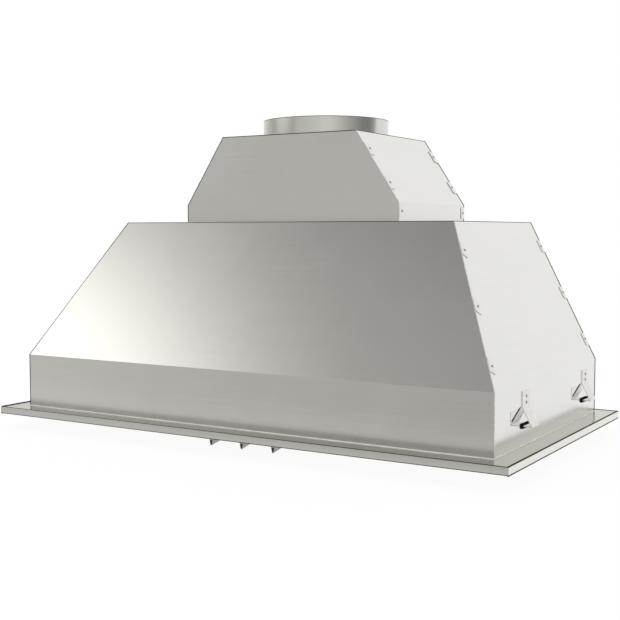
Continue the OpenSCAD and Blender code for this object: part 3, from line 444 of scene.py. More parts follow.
def tube(base, rows, ring, capped=True):
    """Faces round points that lie in rows of the same number, with the ends closed."""
    faces = []
    for k in range(rows - 1):
        for i in range(ring):
            a, b = base + k * ring + i, base + k * ring + (i + 1) % ring
            faces.append((a, b, b + ring, a + ring))
    if capped:
        faces.append(tuple(range(base, base + ring)))
        faces.append(tuple(reversed(range(base + (rows - 1) * ring, base + rows * ring))))
    return faces


def circle(steps):
    """The cosine and sine of each step round a circle."""
    return [(math.cos(2 * math.pi * i / steps), math.sin(2 * math.pi * i / steps)) for i in range(steps)]


def lathed(name, profile, places, finish, body, steps=32, radii=None, smooth=35.0):
    """A profile of (radius, height) turned about Z, once for each matrix in places."""
    verts, faces = [], []
    count = len(profile)
    for place in places:
        base = len(verts)
        for i, (c, s) in enumerate(circle(steps)):
            for k, (radius, height) in enumerate(profile):
                reach = radius * radii(k, i) if radii else radius
                verts.append(place @ Vector((reach * c, reach * s, height)))
        for i in range(steps):
            for k in range(count - 1):
                a, b = base + i * count + k, base + (i + 1) % steps * count + k
                faces.append((a, b, b + 1, a + 1))
    return object_from(name, verts, faces, finish, body, smooth)


def facing(place, normal):
    """A matrix whose Z runs along the normal, at a place."""
    z = Vector(normal).normalized()
    x = Vector((0, 0, 1)).cross(z)
    x = x.normalized() if x.length > 0.001 else Vector((1, 0, 0))
    return Matrix.Translation(place) @ Matrix((x, z.cross(x), z)).transposed().to_4x4()


def on_line(line, z):
    """X or Y of a leaning wall at a height, and how far its outward normal rises."""
    (a, low), (b, high) = (line[0], line[1]) if z < line[1][1] else (line[1], line[2])
    across = a + (z - low) * (b - a) / (high - low)
    slope = math.atan2(a - b, high - low) if a > 0 else math.atan2(b - a, high - low)
    return across, slope


def rivet_place(line, side, y, z):
    """The place on a side wall's tab, with its outward normal."""
    x, slope = on_line(line, z)
    normal = Vector((math.cos(slope), 0, math.sin(slope)))
    spot = Vector((x, y, z)) + normal * SHEET
    return facing((side * spot.x, spot.y, spot.z), (side * normal.x, 0, normal.z))


def rivet_places():
    """Where the tabs are riveted, on both sides."""
    places = []
    front_lean = math.atan2(BODY_FRONT[2][0] - BODY_FRONT[1][0], -BODY_FRONT[1][1])
    skirt, lean = BOX_SIDE[1][1], BOX_SIDE[2][1] - BOX_SIDE[1][1]
    for side in (-1, 1):
        for share in (0.156, 0.493, 0.832):
            z = BODY_SIDE[1][1] * (1 - share)
            y = on_line(BODY_FRONT, z)[0]
            places.append(rivet_place(BODY_SIDE, side, y + FRONT_RIVET_INSET * math.cos(front_lean),
                                      z - FRONT_RIVET_INSET * math.sin(front_lean)))
        for share in (0.142, 0.48, 0.82):
            z = BODY_SIDE[1][1] * (1 - share)
            places.append(rivet_place(BODY_SIDE, side, BODY_REAR_Y - REAR_RIVET_INSET, z))
        for z in (skirt * 0.54, skirt + lean * 0.27, skirt + lean * 0.74):
            places.append(rivet_place(BOX_SIDE, side, BOX_FRONT_Y + FRONT_RIVET_INSET, z))
            places.append(rivet_place(BOX_SIDE, side, BOX_REAR_Y - REAR_RIVET_INSET, z))
    return places


def domed(radius, height, hole):
    """Profile of a blind rivet's head with the stub of its mandrel."""
    return [(0, height * 0.55), (hole * 0.6, height * 0.55), (hole * 0.62, height * 0.2),
            (hole, height * 0.2), (hole * 1.05, height * 0.93), (radius * 0.5, height),
            (radius * 0.75, height * 0.86), (radius * 0.93, height * 0.5), (radius, height * 0.12),
            (radius * 0.98, 0), (0, 0)]


def cross_screws(name, places, radius, height):
    """Pan-head screws with a cross recess."""
    sink = 0.0002
    profile = [(0, height * 0.62), (radius * 0.2, height * 0.62), (radius * 0.3, height * 0.97),
               (radius * 0.55, height), (radius * 0.8, height * 0.85), (radius * 0.95, height * 0.5),
               (radius, height * 0.1), (radius, -sink), (0, -sink)]

    def recess(k, i):
        """Widens the recess's two rings along the cross and narrows them between."""
        if k not in (1, 2):
            return 1.0
        return 1.9 if i % 8 == 0 else 0.55

    return lathed(name, profile, places, "shaft", "casing", 32, recess, 30.0)


# Settings

class HoodLook(PropertyGroup):
    """Colours and finishes of the hood."""
    steel_colour: FloatVectorProperty(name="Steel", description="Colour of the brushed casing",
                                      subtype="COLOR", default=(0.665, 0.657, 0.622), min=0, max=1)
    # The side panels' colour is painted light: the casing steel, lighter where the sides face the light.
    lit_side_colour: FloatVectorProperty(name="Side steel", description="Colour of the side panels",
                                     subtype="COLOR", default=(0.77, 0.763, 0.737), min=0, max=1)
    steel_roughness: FloatProperty(name="Steel roughness", description="Roughness of the brushed casing",
                                   subtype="FACTOR", default=0.25, min=0.1, max=0.8)
    side_roughness: FloatProperty(name="Side roughness", description="Roughness of the side panels",
                                  subtype="FACTOR", default=0.22, min=0.1, max=0.8)
    rim_roughness: FloatProperty(name="Rim roughness", description="Roughness of the rim",
                                 subtype="FACTOR", default=0.2, min=0.05, max=0.8)
    grain_height: FloatProperty(name="Grain height", description="Height of the brushed grain in mm",
                                default=0.005, min=0.0, max=0.1)
    edge: FloatProperty(name="Edge", description="Radius of the sheets' edges", subtype="DISTANCE",
                        default=0.00035, min=0.0, max=0.001)
    # The beads along the casing's edges paint dark outlines of shade and pale highlight lines.
    seam: FloatProperty(name="Seam", description="Radius of the bead along the casing's edges",
                        subtype="DISTANCE", default=0.0008, min=0.0003, max=0.0012)
    # The pale bead round the foot of the walls is a painted highlight.
    sealant: FloatProperty(name="Foot_highlight", description="Radius of the sealant round the foot of the walls",
                           subtype="DISTANCE", default=0.0013, min=0.0003, max=0.002)
    # The rim's dark edge beads paint lines of shade.
    shade_hem: FloatProperty(name="Shade_hem", description="Radius of the dark hems of the rim", subtype="DISTANCE",
                       default=0.001, min=0.0003, max=0.002)
    rivet_radius: FloatProperty(name="Rivet", description="Radius of a rivet's head", subtype="DISTANCE",
                                default=0.0024, min=0.001, max=0.004)
    screw_radius: FloatProperty(name="Screw", description="Radius of a screw's head", subtype="DISTANCE",
                                default=0.0038, min=0.002, max=0.006)


class HoodStudio(PropertyGroup):
    """Light and camera."""
    fill: FloatProperty(name="Fill", description="Strength of the light from all round",
                        default=0.86, min=0.0, max=2.0)
    key: FloatProperty(name="Key", description="Power of the key light", subtype="POWER",
                       default=16.0, min=0.0, max=500.0)
    lens: FloatProperty(name="Lens", description="Focal length", subtype="DISTANCE_CAMERA",
                        default=62.27, min=20.0, max=200.0)


class HoodOperator:
    """Shared settings of the operators below."""
    bl_options = {"REGISTER", "UNDO"}

    @property
    def look(self):
        """The hood's colours and finishes."""
        return bpy.context.scene.hood_look


class HOOD_OT_finishes(HoodOperator, Operator):
    """Make the hood's materials."""
    bl_idname = "hood.finishes"
    bl_label = "Finishes"

    def execute(self, context):
        make_finishes(self.look)
        return {"FINISHED"}


class HOOD_OT_casing(HoodOperator, Operator):
    """Finish the casing, the rim and the collar."""
    bl_idname = "hood.casing"
    bl_label = "Casing"

    def execute(self, context):
        edge = self.look.edge
        dress(("front_panel", "rear_panel", "box_front", "box_rear", "roof_panel", "box_top"), "front",
              edge)
        dress(("left_side_panel", "right_side_panel", "box_left", "box_right"), "side", edge)
        dress(("rim_frame",), "rim", edge)
        dress(("duct_collar",), "collar", edge)
        return {"FINISHED"}


class HOOD_OT_painted_lines(HoodOperator, Operator):
    """Make the beads that paint light and shade along edges: dark outlines and pale highlight lines on the
    casing, dark shade lines on the rim, a dark ring on the collar and a pale highlight round the foot of the
    walls.
    """
    bl_idname = "hood.seams"
    bl_label = "Seams"

    def execute(self, context):
        seam, inset = self.look.seam, 0.0002
        dark, highlight_lines = [], []
        # Dark beads on the edges paint an outline of shade; pale beads on the right front edges paint a
        # highlight.
        for side in (-1, 1):
            for y, line in ((None, BODY_SIDE), (BODY_REAR_Y, BODY_SIDE), (BOX_FRONT_Y, BOX_SIDE),
                            (BOX_REAR_Y, BOX_SIDE)):
                corner = [(side * x, BODY_FRONT[k][0] if y is None else y, z if k else z + SHEET)
                          for k, (x, z) in enumerate(line)]
                (highlight_lines if side > 0 and y in (None, BOX_FRONT_Y) else dark).append(corner)
        # Dark beads round the tops of the body and the box paint an outline of shade.
        for (x, z), front, rear in ((BODY_SIDE[2], BODY_FRONT[2][0], BODY_REAR_Y),
                                    (BOX_SIDE[2], BOX_FRONT_Y, BOX_REAR_Y)):
            dark.append(self.loop(x, front, rear, z - seam))
        # Dark beads along the rim's top and bottom edges paint lines of shade.
        shade_hem, (low, high) = self.look.shade_hem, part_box("rim_frame")
        top_z = RIM_TOP_Z - shade_hem * 0.2
        shade_hems = [self.loop(high[0] - shade_hem, low[1] + shade_hem, high[1] - shade_hem, z)
                for z in (top_z, RIM_LOW_Z - shade_hem * 0.4)]
        # The side beads are a little fuller than those in front and behind, so the painted shade line there
        # is darker
        wide = shade_hem * 1.7
        side_shade_hems = [[(side * (high[0] - wide), y, z) for y in (low[1] + wide, high[1] - wide)]
                     for side in (-1, 1) for z in (top_z, RIM_LOW_Z - wide * 0.6)]
        # A dark ring round the collar's top paints an outline of shade.
        collar = [(COLLAR_SHADE_RING_R * c, COLLAR_SHADE_RING_R * s, COLLAR_SHADE_RING_Z) for c, s in circle(96)]
        # A pale bead round the foot of the walls paints the highlight where they meet the rim.
        foot = self.loop(WALL_X + inset, BODY_FRONT[0][0] - inset, BODY_REAR_Y + inset, RIM_TOP_Z + inset)
        for name, lines, finish, radius in (
                ("painted_outline_beads", dark, "seam", seam), ("painted_highlight_beads", highlight_lines, "edge", seam),
                ("rim_shade_hems", shade_hems, "shade_hem", shade_hem), ("side_shade_hems", side_shade_hems, "shade_hem", wide),
                ("collar_shade_ring", [collar + collar[:1]], "seam", 0.0006),
                ("foot_highlight_bead", [foot], "sealant", self.look.sealant)):
            verts, faces = [], []
            for line in lines:
                self.bead([Vector(p) for p in line], radius, verts, faces)
            object_from(name, verts, faces, finish, "casing", 60)
        return {"FINISHED"}

    def loop(self, x, front, rear, z):
        """The corners of a level rectangle, back to its first corner."""
        return [(-x, front, z), (x, front, z), (x, rear, z), (-x, rear, z), (-x, front, z)]

    def bead(self, line, radius, verts, faces):
        """A thin round bead along a line of points, mitred at its corners."""
        ring, base = 8, len(verts)
        closed = (line[0] - line[-1]).length < 0.00001
        for k, point in enumerate(line):
            before = line[k - 1] if k else (line[-2] if closed else point * 2 - line[1])
            after = line[k + 1] if k + 1 < len(line) else (line[1] if closed else point * 2 - before)
            a, b = (point - before).normalized(), (after - point).normalized()
            along = (a + b).normalized()
            stretch = 1 / max(0.5, along.dot(a))
            across = along.cross(Vector((0.3, 0.2, 0.93))).normalized()
            other = along.cross(across)
            bend = b - a
            for c, s in circle(ring):
                out = (across * c + other * s) * radius
                if bend.length > 0.01:
                    corner = bend.normalized()
                    out += corner * out.dot(corner) * (stretch - 1)
                verts.append(point + out)
        faces += tube(base, len(line), ring, not closed)


class HOOD_OT_rivets(HoodOperator, Operator):
    """Make the rivets of the tabs and the clips."""
    bl_idname = "hood.rivets"
    bl_label = "Rivets"

    def execute(self, context):
        radius = self.look.rivet_radius
        heads = lathed("tab_rivets", domed(radius, 0.0009, radius * 0.4), rivet_places(), "rivet",
                       "casing", 28)
        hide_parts("casing_rivets")
        strap_x = WALL_X + 0.02098
        places = [facing((side * strap_x, y, z), (side, 0, 0)) for side in (-1, 1) for y in CLIP_YS
                  for z in (RIM_TOP_Z + 0.08, RIM_TOP_Z + 0.09)]
        straps = lathed("strap_rivets", domed(0.003, 0.0012, 0.0011), places, "rivet", "casing", 28)
        straps.visible_glossy = False
        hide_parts("clip_rivets")
        return {"FINISHED"}


class HOOD_OT_clips(HoodOperator, Operator):
    """Finish the side clips and their rubber pads."""
    bl_idname = "hood.clips"
    bl_label = "Side clips"

    def execute(self, context):
        dress(CLIPS, "clip", 0.0005, 3)
        # The gap behind a strap takes more bounces than a render follows, which would smear the wall
        for name in CLIPS:
            NODES[name].visible_glossy = False
        self.pads()
        self.leg_shades()
        return {"FINISHED"}

    def pads(self):
        """Ribbed rubber sleeves round the clips' bases, over which the springs rest on the cabinet."""
        verts, faces = [], []
        middle, half_h, half_w, end, pitch = RIM_TOP_Z + 0.04295, 0.00405, 0.0032, 0.0168, 0.002
        ends = [(end, 0.8), (end - 0.0002, 0.93), (end - 0.0008, 1.0)]
        rows = [(-across, size) for across, size in ends]
        for k in range(-7, 8):
            rows += [(k * pitch - 0.0005, 1.0), (k * pitch, 0.9), (k * pitch + 0.0005, 1.0)]
        rows += reversed(ends)
        for side in (-1, 1):
            for y in CLIP_YS:
                base = len(verts)
                for across, size in rows:
                    for c, s in circle(24):
                        # A rounded square: the circle's points pushed towards the corners
                        c, s = (math.copysign(abs(v) ** 0.35, v) * size for v in (c, s))
                        verts.append((side * (WALL_X + CLIP_RISE + c * half_w), y + across,
                                      middle + s * half_h))
                faces += tube(base, len(rows), 24)
        sleeves = object_from("clip_sleeves", verts, faces, "rubber", "casing")
        sleeves.visible_glossy = False
        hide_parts("clip_pads")

    def leg_shades(self):
        """Dark strips along the clips' inner legs, which paint the shade between the legs and the wall."""
        verts, faces = [], []
        low, high = Vector((0.003, 0, 0.044)), Vector((0.0193, 0, 0.073))
        leg_half, edge = 0.0162, 0.0014
        along = (high - low).normalized()
        out = Vector((-along.z, 0, along.x))
        rows = ((0.12, 0.0030), (0.2, 0.0034), (0.85, 0.0034), (0.97, 0.0026))
        for side in (-1, 1):
            for y in CLIP_YS:
                base = len(verts)
                for share, lift in rows:
                    for end, reach in ((-1, edge), (-1, lift), (1, lift), (1, edge)):
                        point = low.lerp(high, share) + out * reach
                        verts.append((side * (WALL_X + point.x), y + end * leg_half, RIM_TOP_Z + point.z))
                faces += tube(base, len(rows), 4)
        strips = object_from("clip_leg_shades", verts, faces, "leg_shade", "casing")
        strips.visible_glossy = False


class HOOD_OT_controls(HoodOperator, Operator):
    """Finish the control strip, its knobs and switches."""
    bl_idname = "hood.controls"
    bl_label = "Controls"

    def execute(self, context):
        dress(("control_panel",), "strip", self.look.edge)
        dress(["knob_" + s for s in SIDES], "knob", 0.0009, 4)
        dress(["shaft_" + s for s in SIDES], "shaft", 0.0003)
        dress(("knob_bezels",), "polished", 0.0006, 3)
        dress(("rotary_switches",), "plastic", 0.0005)
        knob_xs = [index * KNOB_PITCH for index in (-1, 0, 1)]
        for side, x in zip(SIDES, knob_xs):
            self.inlay(side, x)
        self.tick_marks(knob_xs)
        screws = [facing((x, KNOB_Y + y, STRIP_Z), (0, 0, -1)) for x in (-0.47, -0.24, 0.24, 0.47)
                  for y in (-0.03, 0.03)]
        cross_screws("strip_screws", screws, self.look.screw_radius, 0.0022)
        return {"FINISHED"}

    def inlay(self, side, x):
        """A black plate on the front of a knob's grip, narrower towards the tip."""
        grip = KNOB_Y - 0.016
        back, front = grip + 0.0005, grip - 0.00012
        rows = ((-0.4112, 0.0013), (-0.407, 0.0021), (-0.4022, 0.0032))
        verts = []
        for z, half in rows:
            verts += [(x - half, back, z), (x - half, front, z), (x + half, front, z), (x + half, back, z)]
        object_from("knob_front_" + side, verts, tube(0, len(rows), 4), "black_print_and_shade", "knob_" + side)

    def tick_marks(self, knob_xs):
        """Twelve marks round each knob over 270 degrees, let into the bezel."""
        verts, faces = [], []
        inner, outer, half, count = 0.0176, 0.0192, 0.00025, 12
        for x in knob_xs:
            for step in range(count):
                angle = math.radians(-135 + step * 270 / (count - 1)) - math.pi / 2
                out = Vector((math.cos(angle), math.sin(angle), 0))
                across = Vector((-out.y, out.x, 0)) * half
                faces += tube(len(verts), 2, 4)
                for z in (STRIP_Z - 0.00205, STRIP_Z - 0.0018):
                    verts += [Vector((x, KNOB_Y, z)) + out * r + across * s
                              for r, s in ((inner, -1), (outer, -1), (outer, 1), (inner, 1))]
        object_from("bezel_marks", verts, faces, "black_print_and_shade", "casing")


class HOOD_OT_lamps(HoodOperator, Operator):
    """Finish the lamps and their supply."""
    bl_idname = "hood.lamps"
    bl_label = "Lamps"

    def execute(self, context):
        dress(("lamp_bezels",), "polished", 0.0006, 3)
        dress(("lamp_housings",), "can", 0.0005)
        dress(("lamp_lenses",), "lens", 0.0005)
        dress(("lamp_driver",), "white_plastic", 0.0012, 3)
        dress(("speed_control",), "plastic", 0.0012, 3)
        flip = Matrix.Rotation(math.pi, 4, "X")
        chips, boards = [], []
        for side in (-1, 1):
            boards.append(Matrix.Translation((side * LAMP_X, KNOB_Y, LAMP_BOARD_Z)))
            for ring_r, count in ((0.0, 1), (0.008, 6), (0.017, 12)):
                for c, s in circle(count):
                    spot = (side * LAMP_X + ring_r * c, KNOB_Y + ring_r * s, LAMP_CHIP_Z)
                    chips.append(Matrix.Translation(spot) @ flip)
        chip = [(0.0017, -0.0002), (0.0017, 0.0004), (0.0012, 0.0008), (0, 0.0009)]
        lathed("lamp_chips", chip, chips, "white_plastic", "casing", 12)
        board = [(0, 0.0003), (0.0248, 0.0003), (0.0252, 0.0006), (0.0252, 0.0014), (0, 0.0014)]
        lathed("lamp_boards", board, boards, "board", "casing", 48)
        return {"FINISHED"}


class HOOD_OT_filters(HoodOperator, Operator):
    """Finish the baffle filters, their rails and their hinge."""
    bl_idname = "hood.filters"
    bl_label = "Filters"

    def execute(self, context):
        for side in SIDES:
            dress(("filter_frame_" + side,), "filter", 0.0003)
            dress(("baffles_" + side,), "filter", 0.00025)
            dress(("handle_" + side,), "polished")
        dress(("side_rails", "rear_rail", "rod_brackets"), "strip", 0.0003)
        dress(("hinge_rod",), "shaft", 0.0003)
        dress(("filter_magnets",), "magnet", 0.0003)
        return {"FINISHED"}


class HOOD_OT_blower(HoodOperator, Operator):
    """Finish the blower, its motor and the outlet."""
    bl_idname = "hood.blower"
    bl_label = "Blower"

    def execute(self, context):
        dress(("blower_scroll", "scroll_sides", "outlet_plate", "motor_bracket"), "zinc", 0.0003)
        dress(("blower_wheel",), "wheel")
        dress(("blower_motor",), "motor", 0.0008, 3)
        dress(("motor_shaft",), "shaft", 0.0003)
        dress(("capacitor",), "can", 0.0006, 3)
        self.motor_ribs()
        return {"FINISHED"}

    def motor_ribs(self):
        """Cooling ribs round the free end of the motor, and a ring of dark plates on its end cap that paint
        the shade of slots.
        """
        foot, top, half = -0.0005, 0.0013, 0.0009
        profile = ((0.0972, foot, 1.0), (0.0978, top, 0.6), (0.1028, top, 0.6), (0.1036, foot, 1.0))
        verts, faces = [], []
        for c, s in circle(36):
            out, across = Vector((0, c, s)), Vector((0, -s, c)) * half
            faces += tube(len(verts), 2, 4)
            for end in (-1, 1):
                verts += [MOTOR_AXIS + Vector((x, 0, 0)) + out * (MOTOR_R + lift) + across * end * share
                          for x, lift, share in profile]
        object_from("motor_ribs", verts, faces, "motor", "casing")
        # Dark plates on the end cap paint the shade of slots instead of openings.
        verts, faces, half = [], [], 0.0022
        for c, s in circle(12):
            out, across = Vector((0, c, s)), Vector((0, -s, c)) * half
            faces += tube(len(verts), 2, 4)
            for x in (0.1118, 0.1122):
                verts += [MOTOR_AXIS + Vector((x, 0, 0)) + out * r + across * share
                          for r, share in ((0.018, -0.7), (0.018, 0.7), (0.034, 1), (0.034, -1))]
        object_from("motor_slot_shades", verts, faces, "black_print_and_shade", "casing")


class HOOD_OT_damper(HoodOperator, Operator):
    """Finish the damper's flaps and their pin."""
    bl_idname = "hood.damper"
    bl_label = "Damper"

    def execute(self, context):
        dress(("damper_flap_front", "damper_flap_rear"), "zinc", 0.0002)
        dress(("damper_pin",), "shaft", 0.0003)
        angles = [math.radians(22.5 + 45 * index) for index in range(8)]
        places = [Matrix.Translation((COLLAR_RIVET_R * math.cos(angle), COLLAR_RIVET_R * math.sin(angle),
                                      COLLAR_RIVET_Z)) for angle in angles]
        lathed("collar_rivets", domed(0.0026, 0.001, 0.001), places, "rivet", "casing", 24)
        return {"FINISHED"}


class HOOD_OT_wiring(HoodOperator, Operator):
    """Finish the junction box and the wiring."""
    bl_idname = "hood.wiring"
    bl_label = "Wiring"

    def execute(self, context):
        dress(("junction_box",), "zinc", 0.0004)
        dress(("wiring",), "conduit")
        nut = [(0.0101, 0.0061), (0.0127, 0.0061), (0.0131, 0.0068), (0.0131, 0.0172), (0.0126, 0.0184),
               (0.0100, 0.0243), (0.0078, 0.0251), (0.0052, 0.0243)]
        gland = [Matrix.Translation((GLAND_X, GLAND_Y, 0))]
        lathed("gland_nut", nut, gland, "plastic", "casing", 72,
               lambda k, i: 1.045 if 1 < k < 4 and i % 4 < 2 else 1.0, 25.0)
        seal = [(0.0050, 0.0236), (0.0058, 0.0244), (0.0064, 0.0240)]
        lathed("gland_seal", seal, gland, "rubber", "casing")
        cover_y = 0.1451
        screws = [facing((GLAND_X + dx, cover_y, z), (0, -1, 0)) for dx in (-0.047, 0.047)
                  for z in (-0.008, -0.0445)]
        cross_screws("cover_screws", screws, 0.0032, 0.002)
        return {"FINISHED"}


class HOOD_OT_stage(HoodOperator, Operator):
    """Make the floor, the light and the camera."""
    bl_idname = "hood.stage"
    bl_label = "Stage"

    def execute(self, context):
        scene = bpy.context.scene
        studio = scene.hood_studio
        scene.view_settings.view_transform = "Standard"
        self.floor()
        self.world(studio.fill)
        self.lights(studio.key)
        camera = bpy.data.objects.new("camera", bpy.data.cameras.new("camera"))
        bpy.context.collection.objects.link(camera)
        camera.location = CAMERA_PLACE
        camera.rotation_euler = (CAMERA_TILT, 0, CAMERA_TURN)
        camera.data.sensor_width = 36
        camera.data.lens = studio.lens
        camera.data.clip_end = 50
        scene.camera = camera
        return {"FINISHED"}

    def floor(self):
        """A white floor that keeps the shadow and can be looked through from below."""
        mesh = bpy.data.meshes.new("floor")
        half, z = 9.0, CAD_BOX[0][2] - 0.0005
        mesh.from_pydata([(-half, -half, z), (half, -half, z), (half, half, z), (-half, half, z)], [],
                         [(0, 1, 2, 3)])
        floor = bpy.data.objects.new("floor", mesh)
        bpy.context.collection.objects.link(floor)
        paper = Finish("floor_paper")
        cloud = paper.noise(paper.place(), 2.0, 2.0)
        paper.tint(cloud, (0.93, 0.93, 0.93, 1), (0.95, 0.95, 0.95, 1))
        paper.set(Roughness=0.9, Specular_IOR_Level=0.1)
        path, side = paper.add("ShaderNodeLightPath"), paper.add("ShaderNodeNewGeometry")
        clear, glow = paper.add("ShaderNodeBsdfTransparent"), paper.add("ShaderNodeEmission")
        glow.inputs["Strength"].default_value = 1.02
        # The eye and reflections see mostly the glow, and a tenth of the lit paper with its shadow
        part = paper.add("ShaderNodeMath", operation="MULTIPLY")
        part.inputs[1].default_value = 0.9
        paper.join(paper.either(path.outputs["Is Camera Ray"], path.outputs["Is Glossy Ray"]), part.inputs[0])
        lit = paper.blend(part.outputs[0], paper.shader, glow)
        mix = paper.blend(side.outputs["Backfacing"], lit, clear)
        paper.join(mix.outputs[0], paper.output.inputs["Surface"])
        mesh.materials.append(paper.material)

    def world(self, fill):
        """White to the eye and in reflections, and a softer fill on everything else."""
        world = bpy.data.worlds.new("studio")
        world.use_nodes = True
        nodes = Nodes(world.node_tree)
        rays = nodes.add("ShaderNodeLightPath").outputs
        seen = nodes.either(rays["Is Camera Ray"], rays["Is Glossy Ray"])
        white, soft = nodes.add("ShaderNodeBackground"), nodes.add("ShaderNodeBackground")
        for light, strength in ((white, 1.0), (soft, fill)):
            light.inputs["Color"].default_value = (1, 1, 1, 1)
            light.inputs["Strength"].default_value = strength
        mix = nodes.blend(nodes.either(seen, rays["Is Transmission Ray"]), soft, white)
        output = nodes.add("ShaderNodeOutputWorld")
        nodes.join(mix.outputs[0], output.inputs["Surface"])
        bpy.context.scene.world = world

    def lights(self, key):
        """A soft box on the left, and glowing screens and a card that only reflections see."""
        lamp = bpy.data.lights.new("key", "AREA")
        lamp.shape, lamp.size, lamp.energy = "DISK", 1.3, key
        holder = bpy.data.objects.new("key", lamp)
        bpy.context.collection.objects.link(holder)
        holder.matrix_world = facing(KEY_PLACE, KEY_PLACE - KEY_AIM)
        holder.visible_glossy = False
        holder.visible_camera = False
        self.key_glow()
        self.shell("high_screen", (-57, 78), (20, 49), ((-57, 0.42), (-42, 0.48), (-34, 0.48),
                                                        (10, 0.42), (50, 0.9)))
        self.shell("top_screen", (-115, 50), (49, 88), ((-115, 0.3), (-60, 0.33), (-40, 0.31), (20, 0.3),
                                                         (50, 0.9)))
        self.shell("low_screen", (-132, 132), (-10, 20), ((-132, 0.9), (-115, 0.86), (-92, 0.58), (-60, 0.66),
                                                           (-34, 0.6), (0, 0.72), (37, 0.84), (72, 0.5),
                                                           (98, 0.28), (116, 0.26), (130, 0.5)))
        self.floor_card()

    def key_glow(self):
        """An oval round the key light that reflections see, brightest in the middle."""
        steps, reach = 48, 3.6
        turn, rise = math.radians(-56), math.radians(24)
        half_w, half_h = 2.43, 1.45
        verts = [(0, 0, 0)] + [(c, s, 0) for c, s in circle(steps)]
        faces = [(0, 1 + i, 1 + (i + 1) % steps) for i in range(steps)]
        out = Vector((math.sin(turn) * math.cos(rise), -math.cos(turn) * math.cos(rise), math.sin(rise)))
        centre = out * reach + Vector((0, 0, SCREEN_Z))
        disc = self.glow_piece("key_glow", verts, faces, "SPHERICAL",
                               [(0, 0.43), (0.1, 0.47), (0.2, 0.53), (0.3, 0.62), (0.4, 0.79), (0.5, 1.04),
                                (0.6, 1.33), (0.75, 1.8), (1, 2.4)])
        disc.matrix_world = facing(centre, out) @ Matrix.Diagonal((half_w, half_h, 1, 1))

    def shell(self, name, turns, rises, levels):
        """Part of a glowing dome. Turns are degrees from the front to the right, rises above level."""
        radius, steps, rows = 4.5, 48, 12
        verts, faces = [], []
        for i in range(steps + 1):
            turn = math.radians(turns[0] + (turns[1] - turns[0]) * i / steps)
            for k in range(rows + 1):
                rise = math.radians(rises[0] + (rises[1] - rises[0]) * k / rows)
                level_r = radius * math.cos(rise)
                verts.append((level_r * math.cos(turn), level_r * math.sin(turn), radius * math.sin(rise)))
        for i in range(steps):
            for k in range(rows):
                a = i * (rows + 1) + k
                faces.append((a, a + rows + 1, a + rows + 2, a + 1))
        shell = self.glow_piece(name, verts, faces, "RADIAL", self.by_turn(levels))
        shell.matrix_world = Matrix.Translation((0, 0, SCREEN_Z)) @ TO_FRONT

    def by_turn(self, levels):
        """Stops of a radial gradient from levels at turns in degrees."""
        return [(0.5 + turn / 360, level) for turn, level in levels]

    def floor_card(self):
        """A grey card that lies in front and darkens what the upright fronts reflect."""
        verts, steps, near_y, far_r = [], 24, 0.557, 3.8
        for i in range(steps + 1):
            turn = math.radians(-75 + 130 * i / steps)
            verts += [(r * math.cos(turn), r * math.sin(turn), CAD_BOX[0][2] - 0.0002)
                      for r in (near_y / math.cos(turn), far_r)]
        faces = [(2 * i, 2 * i + 2, 2 * i + 3, 2 * i + 1) for i in range(steps)]
        levels = self.by_turn(((-51, 0.7), (-24, 0.57), (16, 0.47)))
        self.glow_piece("floor_card", verts, faces, "RADIAL", levels).matrix_world = TO_FRONT

    def glow_piece(self, name, verts, faces, kind, levels):
        """A piece that glows by a gradient, and that only reflections see."""
        mesh = bpy.data.meshes.new(name)
        mesh.from_pydata(verts, [], faces)
        piece = bpy.data.objects.new(name, mesh)
        bpy.context.collection.objects.link(piece)
        glass = bpy.data.materials.new(name)
        glass.use_nodes = True
        nodes = Nodes(glass.node_tree)
        places = nodes.add("ShaderNodeTexCoord")
        fall = nodes.add("ShaderNodeTexGradient", gradient_type=kind)
        ramp, glow = nodes.add("ShaderNodeValToRGB"), nodes.add("ShaderNodeEmission")
        output = nodes.add("ShaderNodeOutputMaterial")
        ramp.color_ramp.interpolation = "B_SPLINE" if kind == "SPHERICAL" else "LINEAR"
        stops = ramp.color_ramp.elements
        while len(stops) < len(levels):
            stops.new(0.5)
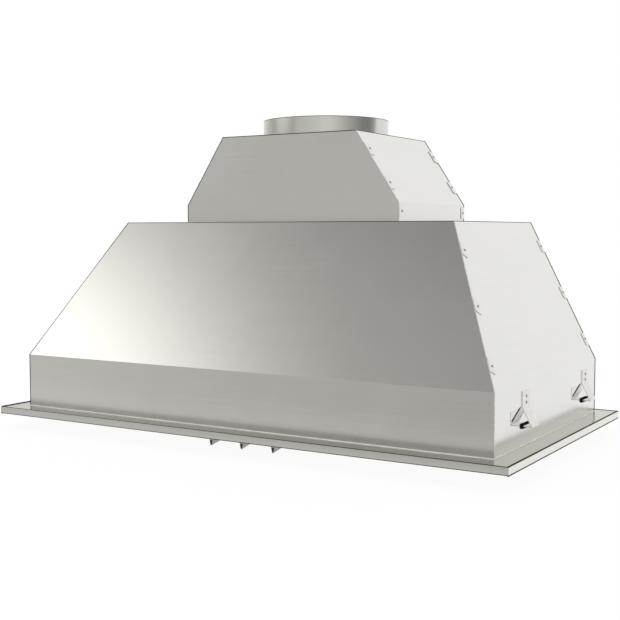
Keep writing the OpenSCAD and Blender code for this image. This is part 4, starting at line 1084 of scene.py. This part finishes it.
        # A ramp's smooth stops end at 1, so the strength carries the brightest level
        brightest = max(level for position, level in levels)
        for stop, (position, level) in zip(stops, levels):
            share = level / brightest
            stop.position, stop.color = position, (share, share, share * 0.985, 1)
        glow.inputs["Strength"].default_value = brightest
        nodes.join(places.outputs["Object"], fall.inputs[0])
        nodes.join(fall.outputs[0], ramp.inputs[0])
        nodes.join(ramp.outputs[0], glow.inputs["Color"])
        nodes.join(glow.outputs[0], output.inputs["Surface"])
        mesh.materials.append(glass)
        piece.visible_camera = False
        piece.visible_diffuse = False
        piece.visible_shadow = False
        piece.visible_transmission = False
        return piece


class HOOD_PT_panel(Panel):
    """Lists the hood's settings and operators."""
    bl_label = "Range Hood Insert"
    bl_idname = "HOOD_PT_panel"
    bl_space_type = "VIEW_3D"
    bl_region_type = "UI"
    bl_category = "Range Hood"

    def draw(self, context):
        for group in (context.scene.hood_look, context.scene.hood_studio):
            box = self.layout.box()
            for key in group.__annotations__:
                box.prop(group, key)
        for operator in OPERATORS:
            self.layout.operator(operator.bl_idname)


OPERATORS = (HOOD_OT_finishes, HOOD_OT_casing, HOOD_OT_painted_lines, HOOD_OT_rivets, HOOD_OT_clips, HOOD_OT_controls,
             HOOD_OT_lamps, HOOD_OT_filters, HOOD_OT_blower, HOOD_OT_damper, HOOD_OT_wiring, HOOD_OT_stage)
CLASSES = (HoodLook, HoodStudio) + OPERATORS + (HOOD_PT_panel,)


def register():
    """Registers the classes and the scene's settings."""
    for cls in CLASSES:
        bpy.utils.register_class(cls)
    bpy.types.Scene.hood_look = PointerProperty(type=HoodLook)
    bpy.types.Scene.hood_studio = PointerProperty(type=HoodStudio)


def unregister():
    """Takes back what register made."""
    del bpy.types.Scene.hood_studio
    del bpy.types.Scene.hood_look
    for cls in reversed(CLASSES):
        bpy.utils.unregister_class(cls)


def main():
    """Makes the whole scene."""
    register()
    for operator in OPERATORS:
        group, name = operator.bl_idname.split(".")
        getattr(getattr(bpy.ops, group), name)()


if __name__ == "__main__":
    main()
